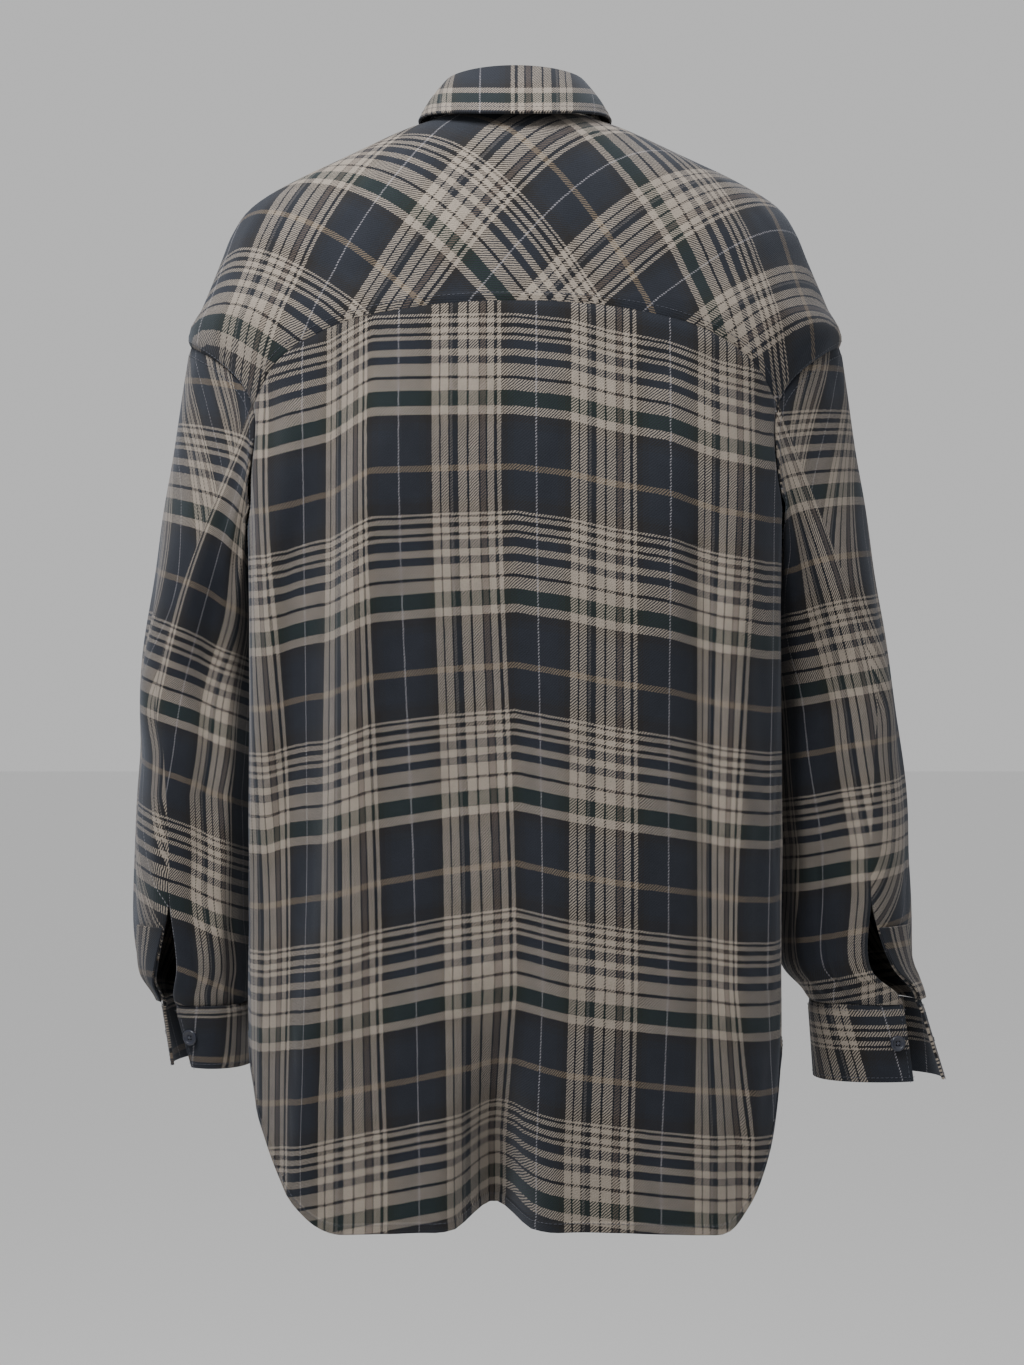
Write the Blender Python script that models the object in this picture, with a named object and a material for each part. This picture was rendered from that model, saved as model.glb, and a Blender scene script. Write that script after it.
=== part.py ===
"""Oversized flannel shirt in its worn, hollow form, buttoned at the front and open at both cuffs.

Metres, +Z up. The wearer faces -Y and the wearer's left is +X. The origin is the centre of the neck
opening at the height where the shoulders meet the neck, which is where a wearer carries the shirt.

Every cloth piece is a wall round a surface. The torso surface is lofted through TORSO, a table of sections
from neckline to tail, and a panel is the part of it between two seams. A point on it has an angle (0 at the
wearer's left side, 90 at the centre back, -90 at the centre front) and a level (its place in the table).
"""

import math
from collections import namedtuple

import bmesh
import bpy
from mathutils import Matrix, Vector

CLOTH = 0.0015  # wall of a single layer of flannel, as for the panels and sleeves
DOUBLE_CLOTH = 0.0022  # wall of a folded or interfaced piece, as for the collar, bands and cuffs
SEAM_GAP = 0.0003  # between two pieces that are sewn together
LAYER_LIFT = 0.0026  # from one layer's middle to that of the layer lying on it
BAND_WIDTH = 0.030  # button band and buttonhole band
BAND_TOP_LEVEL = 0.3  # the bands start just under the collar stand
STAND_OVERLAP = 0.015  # collar stand past the centre front, at each end
FRONT_YOKE_DROP = 0.030  # yoke seam in front of the shoulder line
YOKE_CORNER_ANGLE = 31.0  # where the back yoke seam meets the armhole
ARMHOLE_BACK = 36.6  # half width of the armhole behind the shoulder line, as an angle
ARMHOLE_FRONT = 29.0
ARMHOLE_CLEAR = 0.00312  # the sleeve stands this far off the body wall under the arm
ARMHOLE_CLEAR_SLANT = 0.25  # and backwards or forwards by this share of it
SIDE_SEAM_ANGLE = -14.0  # the side seam runs a little in front of the widest line
SIDE_HEM_SHARE = 0.10  # how far down the tail sections the hem is at the side seams
HEM_CURVE_LEFT = (20.0, 68.0)  # angles off the side seam where the shirttail curve starts and ends
HEM_CURVE_RIGHT = (17.0, 61.0)
SLIT_LENGTH = 0.085
SLIT_WIDTH = 0.020
PLACKET_WIDTH = 0.022
PLACKET_LENGTH = 0.095
CUFF_FLARE = 0.010  # how far the cuff's free buttonhole end stands out at its edge
CUFF_FLARE_TURN = 80.0  # the part of the cuff that flares
CUFF_BUTTON_TURN = 13.0  # from the slit to the cuff's button
BUTTON_RADIUS = 0.0057  # an 18-line shirt button
BUTTON_THICKNESS = 0.0026
BUTTON_HOLE_RADIUS = 0.0007
FRONT_BUTTONS = 7
FIRST_BUTTON_DOWN = 0.045  # from the neckline to the first front button
BUTTON_SPACING = 0.088

BACK_COLUMNS = 26
YOKE_SIDE_COLUMNS = 6
YOKE_ROWS = 8
ARMHOLE_BACK_ROWS = 8
ARMHOLE_FRONT_ROWS = 8
SIDE_ROWS = 10
FRONT_COLUMNS = 9
STAND_COLUMNS = 36
LEAF_COLUMNS = 34
CUFF_COLUMNS = 20
BUTTON_SIDES = 16

NAVY = (0.045, 0.052, 0.075)
CREAM = (0.50, 0.43, 0.34)
BUTTON_NAVY = (0.020, 0.022, 0.032)

Section = namedtuple(
    "Section", "name z_back z_side z_front half_width y_back y_wide y_front n_back n_front"
)
TORSO = (
    Section("neckline", 0.003, 0.004, -0.070, 0.063, 0.060, -0.002, -0.064, 2.0, 2.0),
    Section("under_collar", -0.015, -0.004, -0.084, 0.087, 0.079, -0.002, -0.074, 2.0, 2.0),
    Section("shoulder_in", -0.042, -0.021, -0.104, 0.1235, 0.093, -0.002, -0.086, 2.1, 2.0),
    Section("shoulder_mid", -0.072, -0.040, -0.128, 0.164, 0.1035, -0.001, -0.098, 2.1, 2.0),
    Section("shoulder_out", -0.098, -0.058, -0.150, 0.193, 0.110, -0.001, -0.107, 2.1, 2.0),
    Section("arm_top", -0.116, -0.0765, -0.168, 0.206, 0.113, -0.001, -0.113, 2.2, 2.0),
    Section("arm_upper", -0.127, -0.098, -0.180, 0.2145, 0.115, 0.000, -0.118, 2.2, 2.0),
    Section("arm_lower", -0.135, -0.132, -0.197, 0.228, 0.1165, 0.000, -0.122, 2.3, 2.1),
    Section("shoulder_seam", -0.141, -0.161, -0.215, 0.238, 0.118, 0.001, -0.126, 2.3, 2.1),
    Section("blade", -0.180, -0.215, -0.245, 0.204, 0.121, 0.010, -0.132, 2.7, 2.1),
    Section("armhole_mid", -0.240, -0.270, -0.290, 0.194, 0.124, 0.035, -0.137, 2.9, 2.0),
    Section("underarm", -0.300, -0.330, -0.335, 0.190, 0.124, 0.045, -0.138, 3.0, 2.0),
    Section("waist", -0.450, -0.478, -0.470, 0.190, 0.122, 0.045, -0.130, 3.0, 2.0),
    Section("hip", -0.620, -0.648, -0.630, 0.190, 0.128, 0.045, -0.130, 2.9, 2.0),
    Section("tail", -0.7845, -0.798, -0.765, 0.186, 0.131, 0.045, -0.128, 2.8, 2.0),
)
LEVEL = {section.name: index for index, section in enumerate(TORSO)}

# The collar is lofted the same way: its stand from the neckline up, its leaf over the roll and down.
STAND = (
    Section("stand_seam", 0.0050, 0.0060, -0.0672, 0.0630, 0.0600, -0.002, -0.0640, 2.0, 2.0),
    Section("stand_mid", 0.0190, 0.0185, -0.0545, 0.0560, 0.0530, -0.002, -0.0620, 2.0, 2.0),
    Section("stand_top", 0.0325, 0.0310, -0.0410, 0.0490, 0.0460, -0.002, -0.0600, 2.0, 2.0),
)
LEAF = (
    Section("leaf_seam", 0.0331, 0.0316, -0.0404, 0.0487, 0.0457, -0.002, -0.0599, 2.0, 2.0),
    Section("roll_in", 0.0354, 0.0339, -0.0380, 0.0479, 0.0449, -0.002, -0.0597, 2.0, 2.0),
    Section("roll_top", 0.0370, 0.0355, -0.0362, 0.0497, 0.0469, -0.002, -0.0620, 2.0, 2.0),
    Section("roll_out", 0.0348, 0.0335, -0.0384, 0.0524, 0.0499, -0.002, -0.0650, 2.0, 2.0),
    Section("leaf_mid", 0.0170, 0.0200, -0.0760, 0.0630, 0.0680, -0.002, -0.0860, 2.0, 2.0),
    Section("leaf_edge", -0.0040, 0.0066, -0.1120, 0.0705, 0.0850, -0.002, -0.1060, 2.0, 2.0),
)
RIGHT_END_RISE = (228.0, 258.0)  # angles between which the right end rises
LEAF_GAP_TOP = 2.0  # angle from the centre front to the leaf's end at its seam
LEAF_GAP_EDGE = 24.0  # and at its edge, which gives the collar its points

Ring = namedtuple("Ring", "name z x_out x_mid x_in y_back y_front slit_turn")
SLEEVE_LEFT = (
    Ring("upper_arm", -0.385, 0.2775, 0.229, 0.1880, 0.045, -0.120, 60.0),
    Ring("elbow", -0.465, 0.2800, 0.231, 0.1885, 0.048, -0.114, 66.0),
    Ring("forearm", -0.545, 0.2830, 0.234, 0.1910, 0.050, -0.100, 73.0),
    Ring("wrist", -0.610, 0.2770, 0.233, 0.1940, 0.048, -0.082, 66.0),
    Ring("cuff_seam", -0.640, 0.2600, 0.227, 0.1950, 0.043, -0.052, 42.0),
    Ring("cuff_edge", -0.685, 0.2450, 0.219, 0.1930, 0.042, -0.054, 39.0),
)
SLEEVE_RIGHT = (
    Ring("upper_arm", -0.385, 0.2780, 0.229, 0.1880, 0.045, -0.120, 60.0),
    Ring("elbow", -0.465, 0.2895, 0.235, 0.1885, 0.048, -0.114, 66.0),
    Ring("forearm", -0.545, 0.2930, 0.239, 0.1910, 0.050, -0.100, 73.0),
    Ring("wrist", -0.610, 0.2920, 0.244, 0.1960, 0.046, -0.078, 66.0),
    Ring("cuff_seam", -0.640, 0.2990, 0.259, 0.2170, 0.036, -0.038, 42.0),
    Ring("cuff_edge", -0.696, 0.3080, 0.265, 0.2210, 0.034, -0.036, 39.0),
)
CUFF_SEAM_RING = 5  # ring 0 is the armhole itself
CUFF_EDGE_RING = 6
SLEEVE_SQUARENESS = 2.2

# Lengthwise folds of the torso cloth: the line of each, its half width, and how far it stands out or in.
Fold = namedtuple("Fold", "name side x_top z_top x_low z_low half_width depth")
TAIL_PLEAT_START = 0.010  # deeper than the other folds
TAIL_PLEAT_RISE = 0.25  # how far the tail's pleat takes the cloth up, as a share of its depth
TORSO_FOLDS = (
    Fold("back_left_hollow", "back", 0.128, -0.150, 0.160, -0.640, 0.020, -0.010),
    Fold("back_left_crest", "back", 0.098, -0.160, 0.118, -0.700, 0.018, 0.006),
    Fold("back_right_crest", "back", -0.086, -0.200, -0.088, -0.640, 0.020, 0.005),
    Fold("back_right_hollow", "back", -0.124, -0.240, -0.136, -0.720, 0.018, -0.009),
    Fold("tail_pleat", "back", 0.014, -0.600, 0.016, -0.860, 0.024, -0.058),
    Fold("front_left_hollow", "front", 0.085, -0.260, 0.105, -0.700, 0.022, -0.009),
    Fold("front_right_hollow", "front", -0.080, -0.260, -0.100, -0.700, 0.022, -0.009),
)


def smooth_step(value):
    value = min(1.0, max(0.0, value))
    return value * value * (3.0 - 2.0 * value)


def mix(start, end, share):
    return start + (end - start) * share


def curve_through(values, place):
    """A smooth curve through evenly spaced values, which may be numbers or vectors."""
    place = min(max(place, 0.0), len(values) - 1.0)
    index = min(int(place), len(values) - 2)
    t = place - index
    here, there = values[index], values[index + 1]
    before = values[index - 1] if index else here * 2.0 - there
    after = values[index + 2] if index + 2 < len(values) else there * 2.0 - here
    return (
        here
        + (there - before) * (0.5 * t)
        + (before * 2.0 - here * 5.0 + there * 4.0 - after) * (0.5 * t * t)
        + (here * 3.0 - before - there * 3.0 + after) * (0.5 * t * t * t)
    )


def section_at(table, level):
    """The section at a level that may lie between two rows of the table."""
    first = int(min(max(level, 0), len(table) - 2))
    near = table[max(first - 1, 0) : first + 3]
    place = level - max(first - 1, 0)
    sizes = [curve_through([row[column] for row in near], place) for column in range(1, 10)]
    return Section(table[first].name, *sizes)


def round_out(cosine, sine, squareness):
    """Radius of a unit superellipse in this direction, 1 along both axes."""
    total = abs(cosine) ** squareness + abs(sine) ** squareness
    return total ** (-1.0 / squareness)


def section_point(section, angle):
    cosine = math.cos(math.radians(angle))
    sine = math.sin(math.radians(angle))
    behind = sine >= 0.0
    squareness = section.n_back if behind else section.n_front
    depth = section.y_back - section.y_wide if behind else section.y_wide - section.y_front
    z_middle = section.z_back if behind else section.z_front
    radius = round_out(cosine, sine, squareness)
    return Vector(
        (
            section.half_width * radius * cosine,
            section.y_wide + depth * radius * sine,
            section.z_side + (z_middle - section.z_side) * sine * sine,
        )
    )


def fold_depth(point, angle):
    """How far the torso's folds move a point out, or in where it is negative."""
    side = "back" if math.sin(math.radians(angle)) > 0.0 else "front"
    depth = 0.0
    for fold in TORSO_FOLDS:
        if fold.side != side:
            continue
        along = (point.z - fold.z_top) / (fold.z_low - fold.z_top)
        if not 0.0 < along < 1.0:
            continue
        across = (point.x - mix(fold.x_top, fold.x_low, along)) / fold.half_width
        if fold.name == "tail_pleat":
            strength = smooth_step(along * 1.25)
        else:
            strength = smooth_step(along * 3.0) * smooth_step((1.0 - along) * 4.0)
        depth += fold.depth * strength * math.exp(-across * across)
    return depth


def torso(angle, level):
    """A point on the torso surface, with its folds."""
    point = section_point(section_at(TORSO, level), angle)
    depth = fold_depth(point, angle)
    point.y += math.copysign(1.0, math.sin(math.radians(angle))) * depth
    point.z -= min(depth + TAIL_PLEAT_START, 0.0) * TAIL_PLEAT_RISE
    return point


def front_lift(angle, level):
    """The right front rises beside its band, which lies on the button band."""
    section = section_at(TORSO, level)
    from_centre = section.half_width * abs(math.cos(math.radians(angle)))
    return LAYER_LIFT * smooth_step(1.0 - (from_centre - BAND_WIDTH / 2) / 0.03)


def side_angle(level):
    """The armhole's middle and the side seam, which turn forward below the shoulder seam."""
    share = (level - LEVEL["shoulder_seam"]) / (LEVEL["underarm"] - LEVEL["shoulder_seam"])
    return SIDE_SEAM_ANGLE * smooth_step(share)


def armhole(turn):
    """Angle and level on the left armhole: turn 0 at the shoulder, 180 under the arm, 90 at the back."""
    radians = math.radians(turn)
    span = LEVEL["underarm"] - LEVEL["shoulder_seam"]
    level = LEVEL["shoulder_seam"] + span * (1.0 - math.cos(radians)) / 2.0
    reach = ARMHOLE_BACK if math.sin(radians) > 0.0 else ARMHOLE_FRONT
    return side_angle(level) + reach * math.sin(radians), level


def turn_at(angle_wanted, low, high):
    """The turn between low and high where the armhole passes this angle."""
    rising = armhole(high)[0] > armhole(low)[0]
    for _ in range(40):
        middle = (low + high) / 2.0
        if (armhole(middle)[0] < angle_wanted) == rising:
            low = middle
        else:
            high = middle
    return (low + high) / 2.0


def yoke_front_angle(level):
    """The front yoke seam stays one drop in front of the shoulder line, up to the shoulder seam."""
    section = section_at(TORSO, min(level, LEVEL["shoulder_seam"]))
    return math.degrees(math.asin(FRONT_YOKE_DROP / (section.y_wide - section.y_front)))


YOKE_FRONT_ANGLE = -yoke_front_angle(LEVEL["shoulder_seam"])
FRONT_TURN = turn_at(YOKE_FRONT_ANGLE, -90.0, 0.0)  # where the front yoke seam meets the armhole
BACK_TURN = turn_at(YOKE_CORNER_ANGLE, 0.0, 80.0)  # where the back yoke seam does


def yoke_edge_level(angle):
    """Level of the yoke's lower edge: the armhole at both ends, and the back seam between them."""
    off_side = angle if angle < 90.0 else 180.0 - angle
    if off_side < YOKE_CORNER_ANGLE:
        return armhole(turn_at(off_side, FRONT_TURN, BACK_TURN))[1]
    off_centre = (90.0 - off_side) / (90.0 - YOKE_CORNER_ANGLE)
    corner_level = armhole(BACK_TURN)[1]
    return mix(LEVEL["shoulder_seam"], corner_level, off_centre * off_centre)


def hem_level(angle):
    off_side = abs(angle - SIDE_SEAM_ANGLE) if angle < 90.0 else abs(180.0 - SIDE_SEAM_ANGLE - angle)
    start, end = HEM_CURVE_LEFT if angle < 90.0 else HEM_CURVE_RIGHT
    share = smooth_step((off_side - start) / (end - start))
    return LEVEL["hip"] + mix(SIDE_HEM_SHARE, 1.0, share)


def steps(start, end, count):
    return [mix(start, end, index / count) for index in range(count + 1)]


def mirrored(angle):
    return 180.0 - angle


def yoke_places():
    """Rows of (angle, level) for the yoke, neckline first, from the left front seam to the right one."""
    left = [armhole(turn)[0] for turn in steps(FRONT_TURN, BACK_TURN, YOKE_SIDE_COLUMNS)]
    across = steps(YOKE_CORNER_ANGLE, mirrored(YOKE_CORNER_ANGLE), BACK_COLUMNS)
    ends = left[:-1] + across + [mirrored(angle) for angle in reversed(left[:-1])]
    rows = []
    for share in steps(0.0, 1.0, YOKE_ROWS):
        row = []
        for end in ends:
            level = share * yoke_edge_level(end)
            start_angle = -yoke_front_angle(level)
            place = (end - YOKE_FRONT_ANGLE) / (180.0 - 2.0 * YOKE_FRONT_ANGLE)
            row.append((mix(start_angle, mirrored(start_angle), place), level))
        rows.append(row)
    return rows


def back_places():
    """Rows for the back: down the armholes from the yoke's corners, then down the side seams."""
    under = LEVEL["underarm"]
    corner_level = armhole(BACK_TURN)[1]
    rows = []
    for turn in steps(BACK_TURN, 180.0, ARMHOLE_BACK_ROWS):
        start, level = armhole(turn)
        share = (level - corner_level) / (under - corner_level)
        angles = steps(start, mirrored(start), BACK_COLUMNS)
        tops = steps(YOKE_CORNER_ANGLE, mirrored(YOKE_CORNER_ANGLE), BACK_COLUMNS)
        rows.append(
            [(angle, mix(yoke_edge_level(top), under, share)) for angle, top in zip(angles, tops)]
        )
    for share in steps(0.0, 1.0, SIDE_ROWS)[1:]:
        angles = steps(SIDE_SEAM_ANGLE, mirrored(SIDE_SEAM_ANGLE), BACK_COLUMNS)
        rows.append([(angle, mix(under, hem_level(angle), share)) for angle in angles])
    return rows


def front_edge_angle(level, offset):
    """The angle at this distance from the centre front line, on the wearer's left."""
    section = section_at(TORSO, level)
    return -90.0 + math.degrees(math.asin(offset / section.half_width))


def front_places():
    """Rows for the left front: shoulder seam, armhole, side seam, each out to the band's edge."""
    under = LEVEL["underarm"]
    corner_level = armhole(FRONT_TURN)[1]
    starts = [
        (-yoke_front_angle(share * corner_level), share * corner_level)
        for share in steps(0.0, 1.0, YOKE_ROWS)
    ]
    starts += [armhole(turn) for turn in steps(FRONT_TURN, -180.0, ARMHOLE_FRONT_ROWS)[1:]]
    rows = []
    for start, level in starts:
        end = front_edge_angle(level, BAND_WIDTH / 2)
        rows.append([(angle, level) for angle in steps(start, end, FRONT_COLUMNS)])
    for share in steps(0.0, 1.0, SIDE_ROWS)[1:]:
        end = front_edge_angle(mix(under, hem_level(-90.0), share), BAND_WIDTH / 2)
        angles = steps(SIDE_SEAM_ANGLE, end, FRONT_COLUMNS)
        rows.append([(angle, mix(under, hem_level(angle), share)) for angle in angles])
    return rows


def band_places():
    """Rows for both bands, centred on the front, at the same levels as the front's edge."""
    rows = []
    for row in front_places():
        level = max(row[-1][1], BAND_TOP_LEVEL)
        offsets = (BAND_WIDTH / 2, 0.0, -BAND_WIDTH / 2)
        rows.append([(front_edge_angle(level, offset), level) for offset in offsets])
    return rows


def collar_surface(table):
    """The surface through one of the collar's tables. Its right end rises, because it lies on its left end."""

    def collar(angle, level):
        point = section_point(section_at(table, level), angle)
        outward = Vector((point.x, point.y, 0.0)).normalized()
        past = (angle - RIGHT_END_RISE[0]) / (RIGHT_END_RISE[1] - RIGHT_END_RISE[0])
        return point + outward * LAYER_LIFT * smooth_step(past)

    return collar


def stand_places():
    end = math.degrees(STAND_OVERLAP / -STAND[0].y_front)
    angles = steps(-90.0 - end, 270.0 + end, STAND_COLUMNS)
    return [[(angle, level) for angle in angles] for level in range(len(STAND))]


def leaf_places():
    rows = []
    for level in range(len(LEAF)):
        gap = mix(LEAF_GAP_TOP, LEAF_GAP_EDGE, smooth_step(level / (len(LEAF) - 1)))
        rows.append([(angle, level) for angle in steps(-90.0 + gap, 270.0 - gap, LEAF_COLUMNS)])
    return rows


class Sleeve:
    """One sleeve's surface. Its turn is 0 outside, 90 behind, 180 beside the body and 270 in front."""

    def __init__(self, rings, side):
        self.rings = rings
        self.side = side

    def ring_point(self, ring, turn):
        cosine = math.cos(math.radians(turn))
        sine = math.sin(math.radians(turn))
        radius = round_out(cosine, sine, SLEEVE_SQUARENESS)
        half_x = ring.x_out - ring.x_mid if cosine > 0.0 else ring.x_mid - ring.x_in
        y_mid = (ring.y_back + ring.y_front) / 2.0
        half_y = (ring.y_back - ring.y_front) / 2.0
        return Vector((ring.x_mid + half_x * radius * cosine, y_mid + half_y * radius * sine, ring.z))

    def armhole_point(self, turn):
        """The armhole, moved clear of the body wall that hangs beside it under the arm."""
        turn = (turn + 180.0) % 360.0 - 180.0
        angle, level = armhole(turn)
        if self.side < 0:
            angle = mirrored(angle)
        point = torso(angle, level)
        point.x *= self.side
        under = (1.0 - math.cos(math.radians(turn))) / 2.0
        outward = Vector((1.0, ARMHOLE_CLEAR_SLANT * math.sin(math.radians(turn)), 0.0))
        return point + outward * ARMHOLE_CLEAR * under

    def point(self, turn, ring_place):
        points = [self.armhole_point(turn)]
        points += [self.ring_point(ring, turn) for ring in self.rings]
        point = curve_through(points, ring_place)
        return Vector((point.x * self.side, point.y, point.z))

    def columns(self):
        """Turns round the armhole, starting at the yoke's back corner, where the slit ends below."""
        back = steps(BACK_TURN, 180.0, ARMHOLE_BACK_ROWS)
        front = steps(180.0, 360.0 + FRONT_TURN, ARMHOLE_FRONT_ROWS)
        top = steps(360.0 + FRONT_TURN, 360.0 + BACK_TURN, YOKE_SIDE_COLUMNS)
        return back[:-1] + front[:-1] + top

    def places(self):
        rings = steps(0.0, 1.0, 5) + [1.5, 2.0, 2.5, 3.0, 3.5, 4.0, 4.35, 4.7, CUFF_SEAM_RING]
        return [[(turn, ring) for turn in self.columns()] for ring in rings]

    def cuff_point(self, turn, share):
        """A point on the cuff, from its seam at 0 to its edge at 1. Its buttonhole end flares."""
        seam = self.ring_point(self.rings[CUFF_SEAM_RING - 1], turn)
        edge = self.ring_point(self.rings[CUFF_SEAM_RING], turn)
        point = mix(seam, edge, share)
        ring = self.rings[CUFF_SEAM_RING]
        outward = Vector((edge.x - ring.x_mid, edge.y - (ring.y_back + ring.y_front) / 2.0, 0.0))
        past = (turn - ring.slit_turn - 360.0 + CUFF_FLARE_TURN) / CUFF_FLARE_TURN
        point += outward.normalized() * CUFF_FLARE * smooth_step(past) * share
        return Vector((point.x * self.side, point.y, point.z))

    def girth_radius(self, ring):
        return (ring.x_out - ring.x_in + ring.y_back - ring.y_front) / 4.0

    def slit_turn(self, ring_place):
        """The slit's line, which is carried up to the armhole at the yoke's back corner."""
        return curve_through([BACK_TURN] + [ring.slit_turn for ring in self.rings], ring_place)

    def slit_half_turn(self, ring_place):
        """Half the slit's opening as a turn, 0 above the slit."""
        ring = self.rings[CUFF_SEAM_RING - 1]
        share = smooth_step((self.point(BACK_TURN, ring_place).z - ring.z) / SLIT_LENGTH)
        return math.degrees(SLIT_WIDTH / 2.0 / self.girth_radius(ring)) * (1.0 - share)


def surface_normal(surface, angle, level, outward):
    """Unit normal by differences. The sign outward turns it to the cloth's outer side."""
    across = surface(angle + 0.05, level) - surface(angle - 0.05, level)
    down = surface(angle, level + 0.01) - surface(angle, level - 0.01)
    return across.cross(down).normalized() * outward


def plain_material(name, colour, roughness):
    material = bpy.data.materials.new(name)
    material.use_nodes = True
    shader = material.node_tree.nodes["Principled BSDF"]
    shader.inputs["Base Color"].default_value = (*colour, 1.0)
    shader.inputs["Roughness"].default_value = roughness
    shader.inputs["Metallic"].default_value = 0.0
    material.diffuse_color = (*colour, 1.0)
    return material


def add_object(name, mesh, material):
    obj = bpy.data.objects.new(name, mesh)
    bpy.context.scene.collection.objects.link(obj)
    mesh.materials.append(material)
    return obj


def drawn_in(point, before, after, inner):
    """A border point moved half a seam gap towards the inside, square to the border."""
    along = (after - before).normalized()
    inward = inner - point
    inward -= along * inward.dot(along)
    return point + inward.normalized() * (SEAM_GAP / 2.0)


def draw_in_edges(points, closed_down_to):
    """Move the border of a grid of points in by half a seam gap."""
    moved = [row[:] for row in points]
    last_row, last_column = len(points) - 1, len(points[0]) - 1
    for row, inner in ((0, 1), (last_row, last_row - 1)):
        for column in range(last_column + 1):
            before = points[row][max(column - 1, 0)]
            after = points[row][min(column + 1, last_column)]
            moved[row][column] = drawn_in(points[row][column], before, after, points[inner][column])
    for column, inner in ((0, 1), (last_column, last_column - 1)):
        for row in range(closed_down_to + 1, last_row + 1):
            before = points[max(row - 1, 0)][column]
            after = points[min(row + 1, last_row)][column]
            shift = drawn_in(points[row][column], before, after, points[row][inner])
            moved[row][column] += shift - points[row][column]
    return moved


def cloth_wall(name, places, surface, material, outward=-1, **options):
    """A closed wall round the surface at these places.

    The options are thickness, lift (how far a place moves out), closed_down_to (rows up to this one join
    up with themselves, as a sleeve does above its slit) and top_normals (normals of the first row).
    """
    thickness = options.get("thickness", CLOTH)
    closed_down_to = options.get("closed_down_to", -1)
    lift = options.get("lift", lambda angle, level: 0.0)
    points = draw_in_edges([[surface(*place) for place in row] for row in places], closed_down_to)
    normals = [[surface_normal(surface, *place, outward) for place in row] for row in places]
    if "top_normals" in options:
        normals[0] = options["top_normals"]
    mesh = bmesh.new()
    layers = []
    for offset in (thickness / 2.0, -thickness / 2.0):
        layer = []
        for row, place_row, normal_row in zip(points, places, normals):
            columns = zip(row, place_row, normal_row)
            verts = [
                mesh.verts.new(point + normal * (offset + lift(*place)))
                for point, place, normal in columns
            ]
            if len(layer) <= closed_down_to:
                mesh.verts.remove(verts[-1])
                verts[-1] = verts[0]
            layer.append(verts)
        layers.append(layer)
    outer, inner = layers
    last_row, last_column = len(points) - 1, len(points[0]) - 1
    for i in range(last_row):
        for j in range(last_column):
            mesh.faces.new((outer[i][j], outer[i + 1][j], outer[i + 1][j + 1], outer[i][j + 1]))
            mesh.faces.new((inner[i][j], inner[i][j + 1], inner[i + 1][j + 1], inner[i + 1][j]))
    for i, j_step in ((0, 1), (last_row, -1)):
        for j in range(last_column):
            ends = (j, j + 1)[::j_step]
            mesh.faces.new((outer[i][ends[0]], outer[i][ends[1]], inner[i][ends[1]], inner[i][ends[0]]))
    for j, i_step in ((0, -1), (last_column, 1)):
        for i in range(max(closed_down_to, 0), last_row):
            ends = (i, i + 1)[::i_step]
            mesh.faces.new((outer[ends[0]][j], outer[ends[1]][j], inner[ends[1]][j], inner[ends[0]][j]))
    bmesh.ops.recalc_face_normals(mesh, faces=mesh.faces)
    data = bpy.data.meshes.new(name)
    mesh.to_mesh(data)
    mesh.free()
    data.shade_smooth()
    data.set_sharp_from_angle(angle=math.radians(50.0))
    return add_object(name, data, material)


def button_mesh():
    """A shirt button about its own Z axis: a rim, a dished middle and four thread holes."""
    half = BUTTON_THICKNESS / 2.0
    profile = (
        (0.0, half * 0.35),
        (BUTTON_RADIUS * 0.66, half * 0.35),
        (BUTTON_RADIUS * 0.80, half),
        (BUTTON_RADIUS, half * 0.25),
        (BUTTON_RADIUS * 0.86, -half),
        (0.0, -half),
    )
    mesh = bmesh.new()
    verts = [mesh.verts.new((radius, 0.0, height)) for radius, height in profile]
    edges = [mesh.edges.new(pair) for pair in zip(verts, verts[1:])]
    bmesh.ops.spin(
        mesh, geom=verts + edges, cent=(0, 0, 0), axis=(0, 0, 1), angle=math.tau, steps=BUTTON_SIDES
    )
    bmesh.ops.remove_doubles(mesh, verts=mesh.verts, dist=1e-6)
    bmesh.ops.recalc_face_normals(mesh, faces=mesh.faces)
    data = bpy.data.meshes.new("button_blank")
    mesh.to_mesh(data)
    mesh.free()
    return data


def drilled_button_mesh(material):
    blank = add_object("button_blank", button_mesh(), material)
    drills = bmesh.new()
    for quarter in range(4):
        turn = math.radians(45.0 + 90.0 * quarter)
        place = Vector((math.cos(turn), math.sin(turn), 0.0)) * BUTTON_RADIUS * 0.30
        bmesh.ops.create_cone(
            drills,
            cap_ends=True,
            segments=8,
            radius1=BUTTON_HOLE_RADIUS,
            radius2=BUTTON_HOLE_RADIUS,
            depth=BUTTON_THICKNESS * 3.0,
            matrix=Matrix.Translation(place),
        )
    drill_data = bpy.data.meshes.new("button_drills")
    drills.to_mesh(drill_data)
    drills.free()
    cutter = add_object("button_drills", drill_data, material)
    cut = blank.modifiers.new("thread_holes", "BOOLEAN")
    cut.operation = "DIFFERENCE"
    cut.object = cutter
    bpy.context.view_layer.update()
    graph = bpy.context.evaluated_depsgraph_get()
    drilled = bpy.data.meshes.new_from_object(blank.evaluated_get(graph))
    bpy.data.objects.remove(blank, do_unlink=True)
    bpy.data.objects.remove(cutter, do_unlink=True)
    drilled.name = "shirt_button"
    drilled.shade_smooth()
    drilled.set_sharp_from_angle(angle=math.radians(35.0))
    return drilled


def add_button(name, mesh, surface_point, normal, layers_below):
    """Set a button on the cloth, its back a seam gap off the surface."""
    button = bpy.data.objects.new(name, mesh)
    bpy.context.scene.collection.objects.link(button)
    height = layers_below + DOUBLE_CLOTH / 2.0 + SEAM_GAP + BUTTON_THICKNESS / 2.0
    button.location = surface_point + normal * height
    button.rotation_mode = "QUATERNION"
    button.rotation_quaternion = normal.to_track_quat("Z", "Y")


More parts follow.
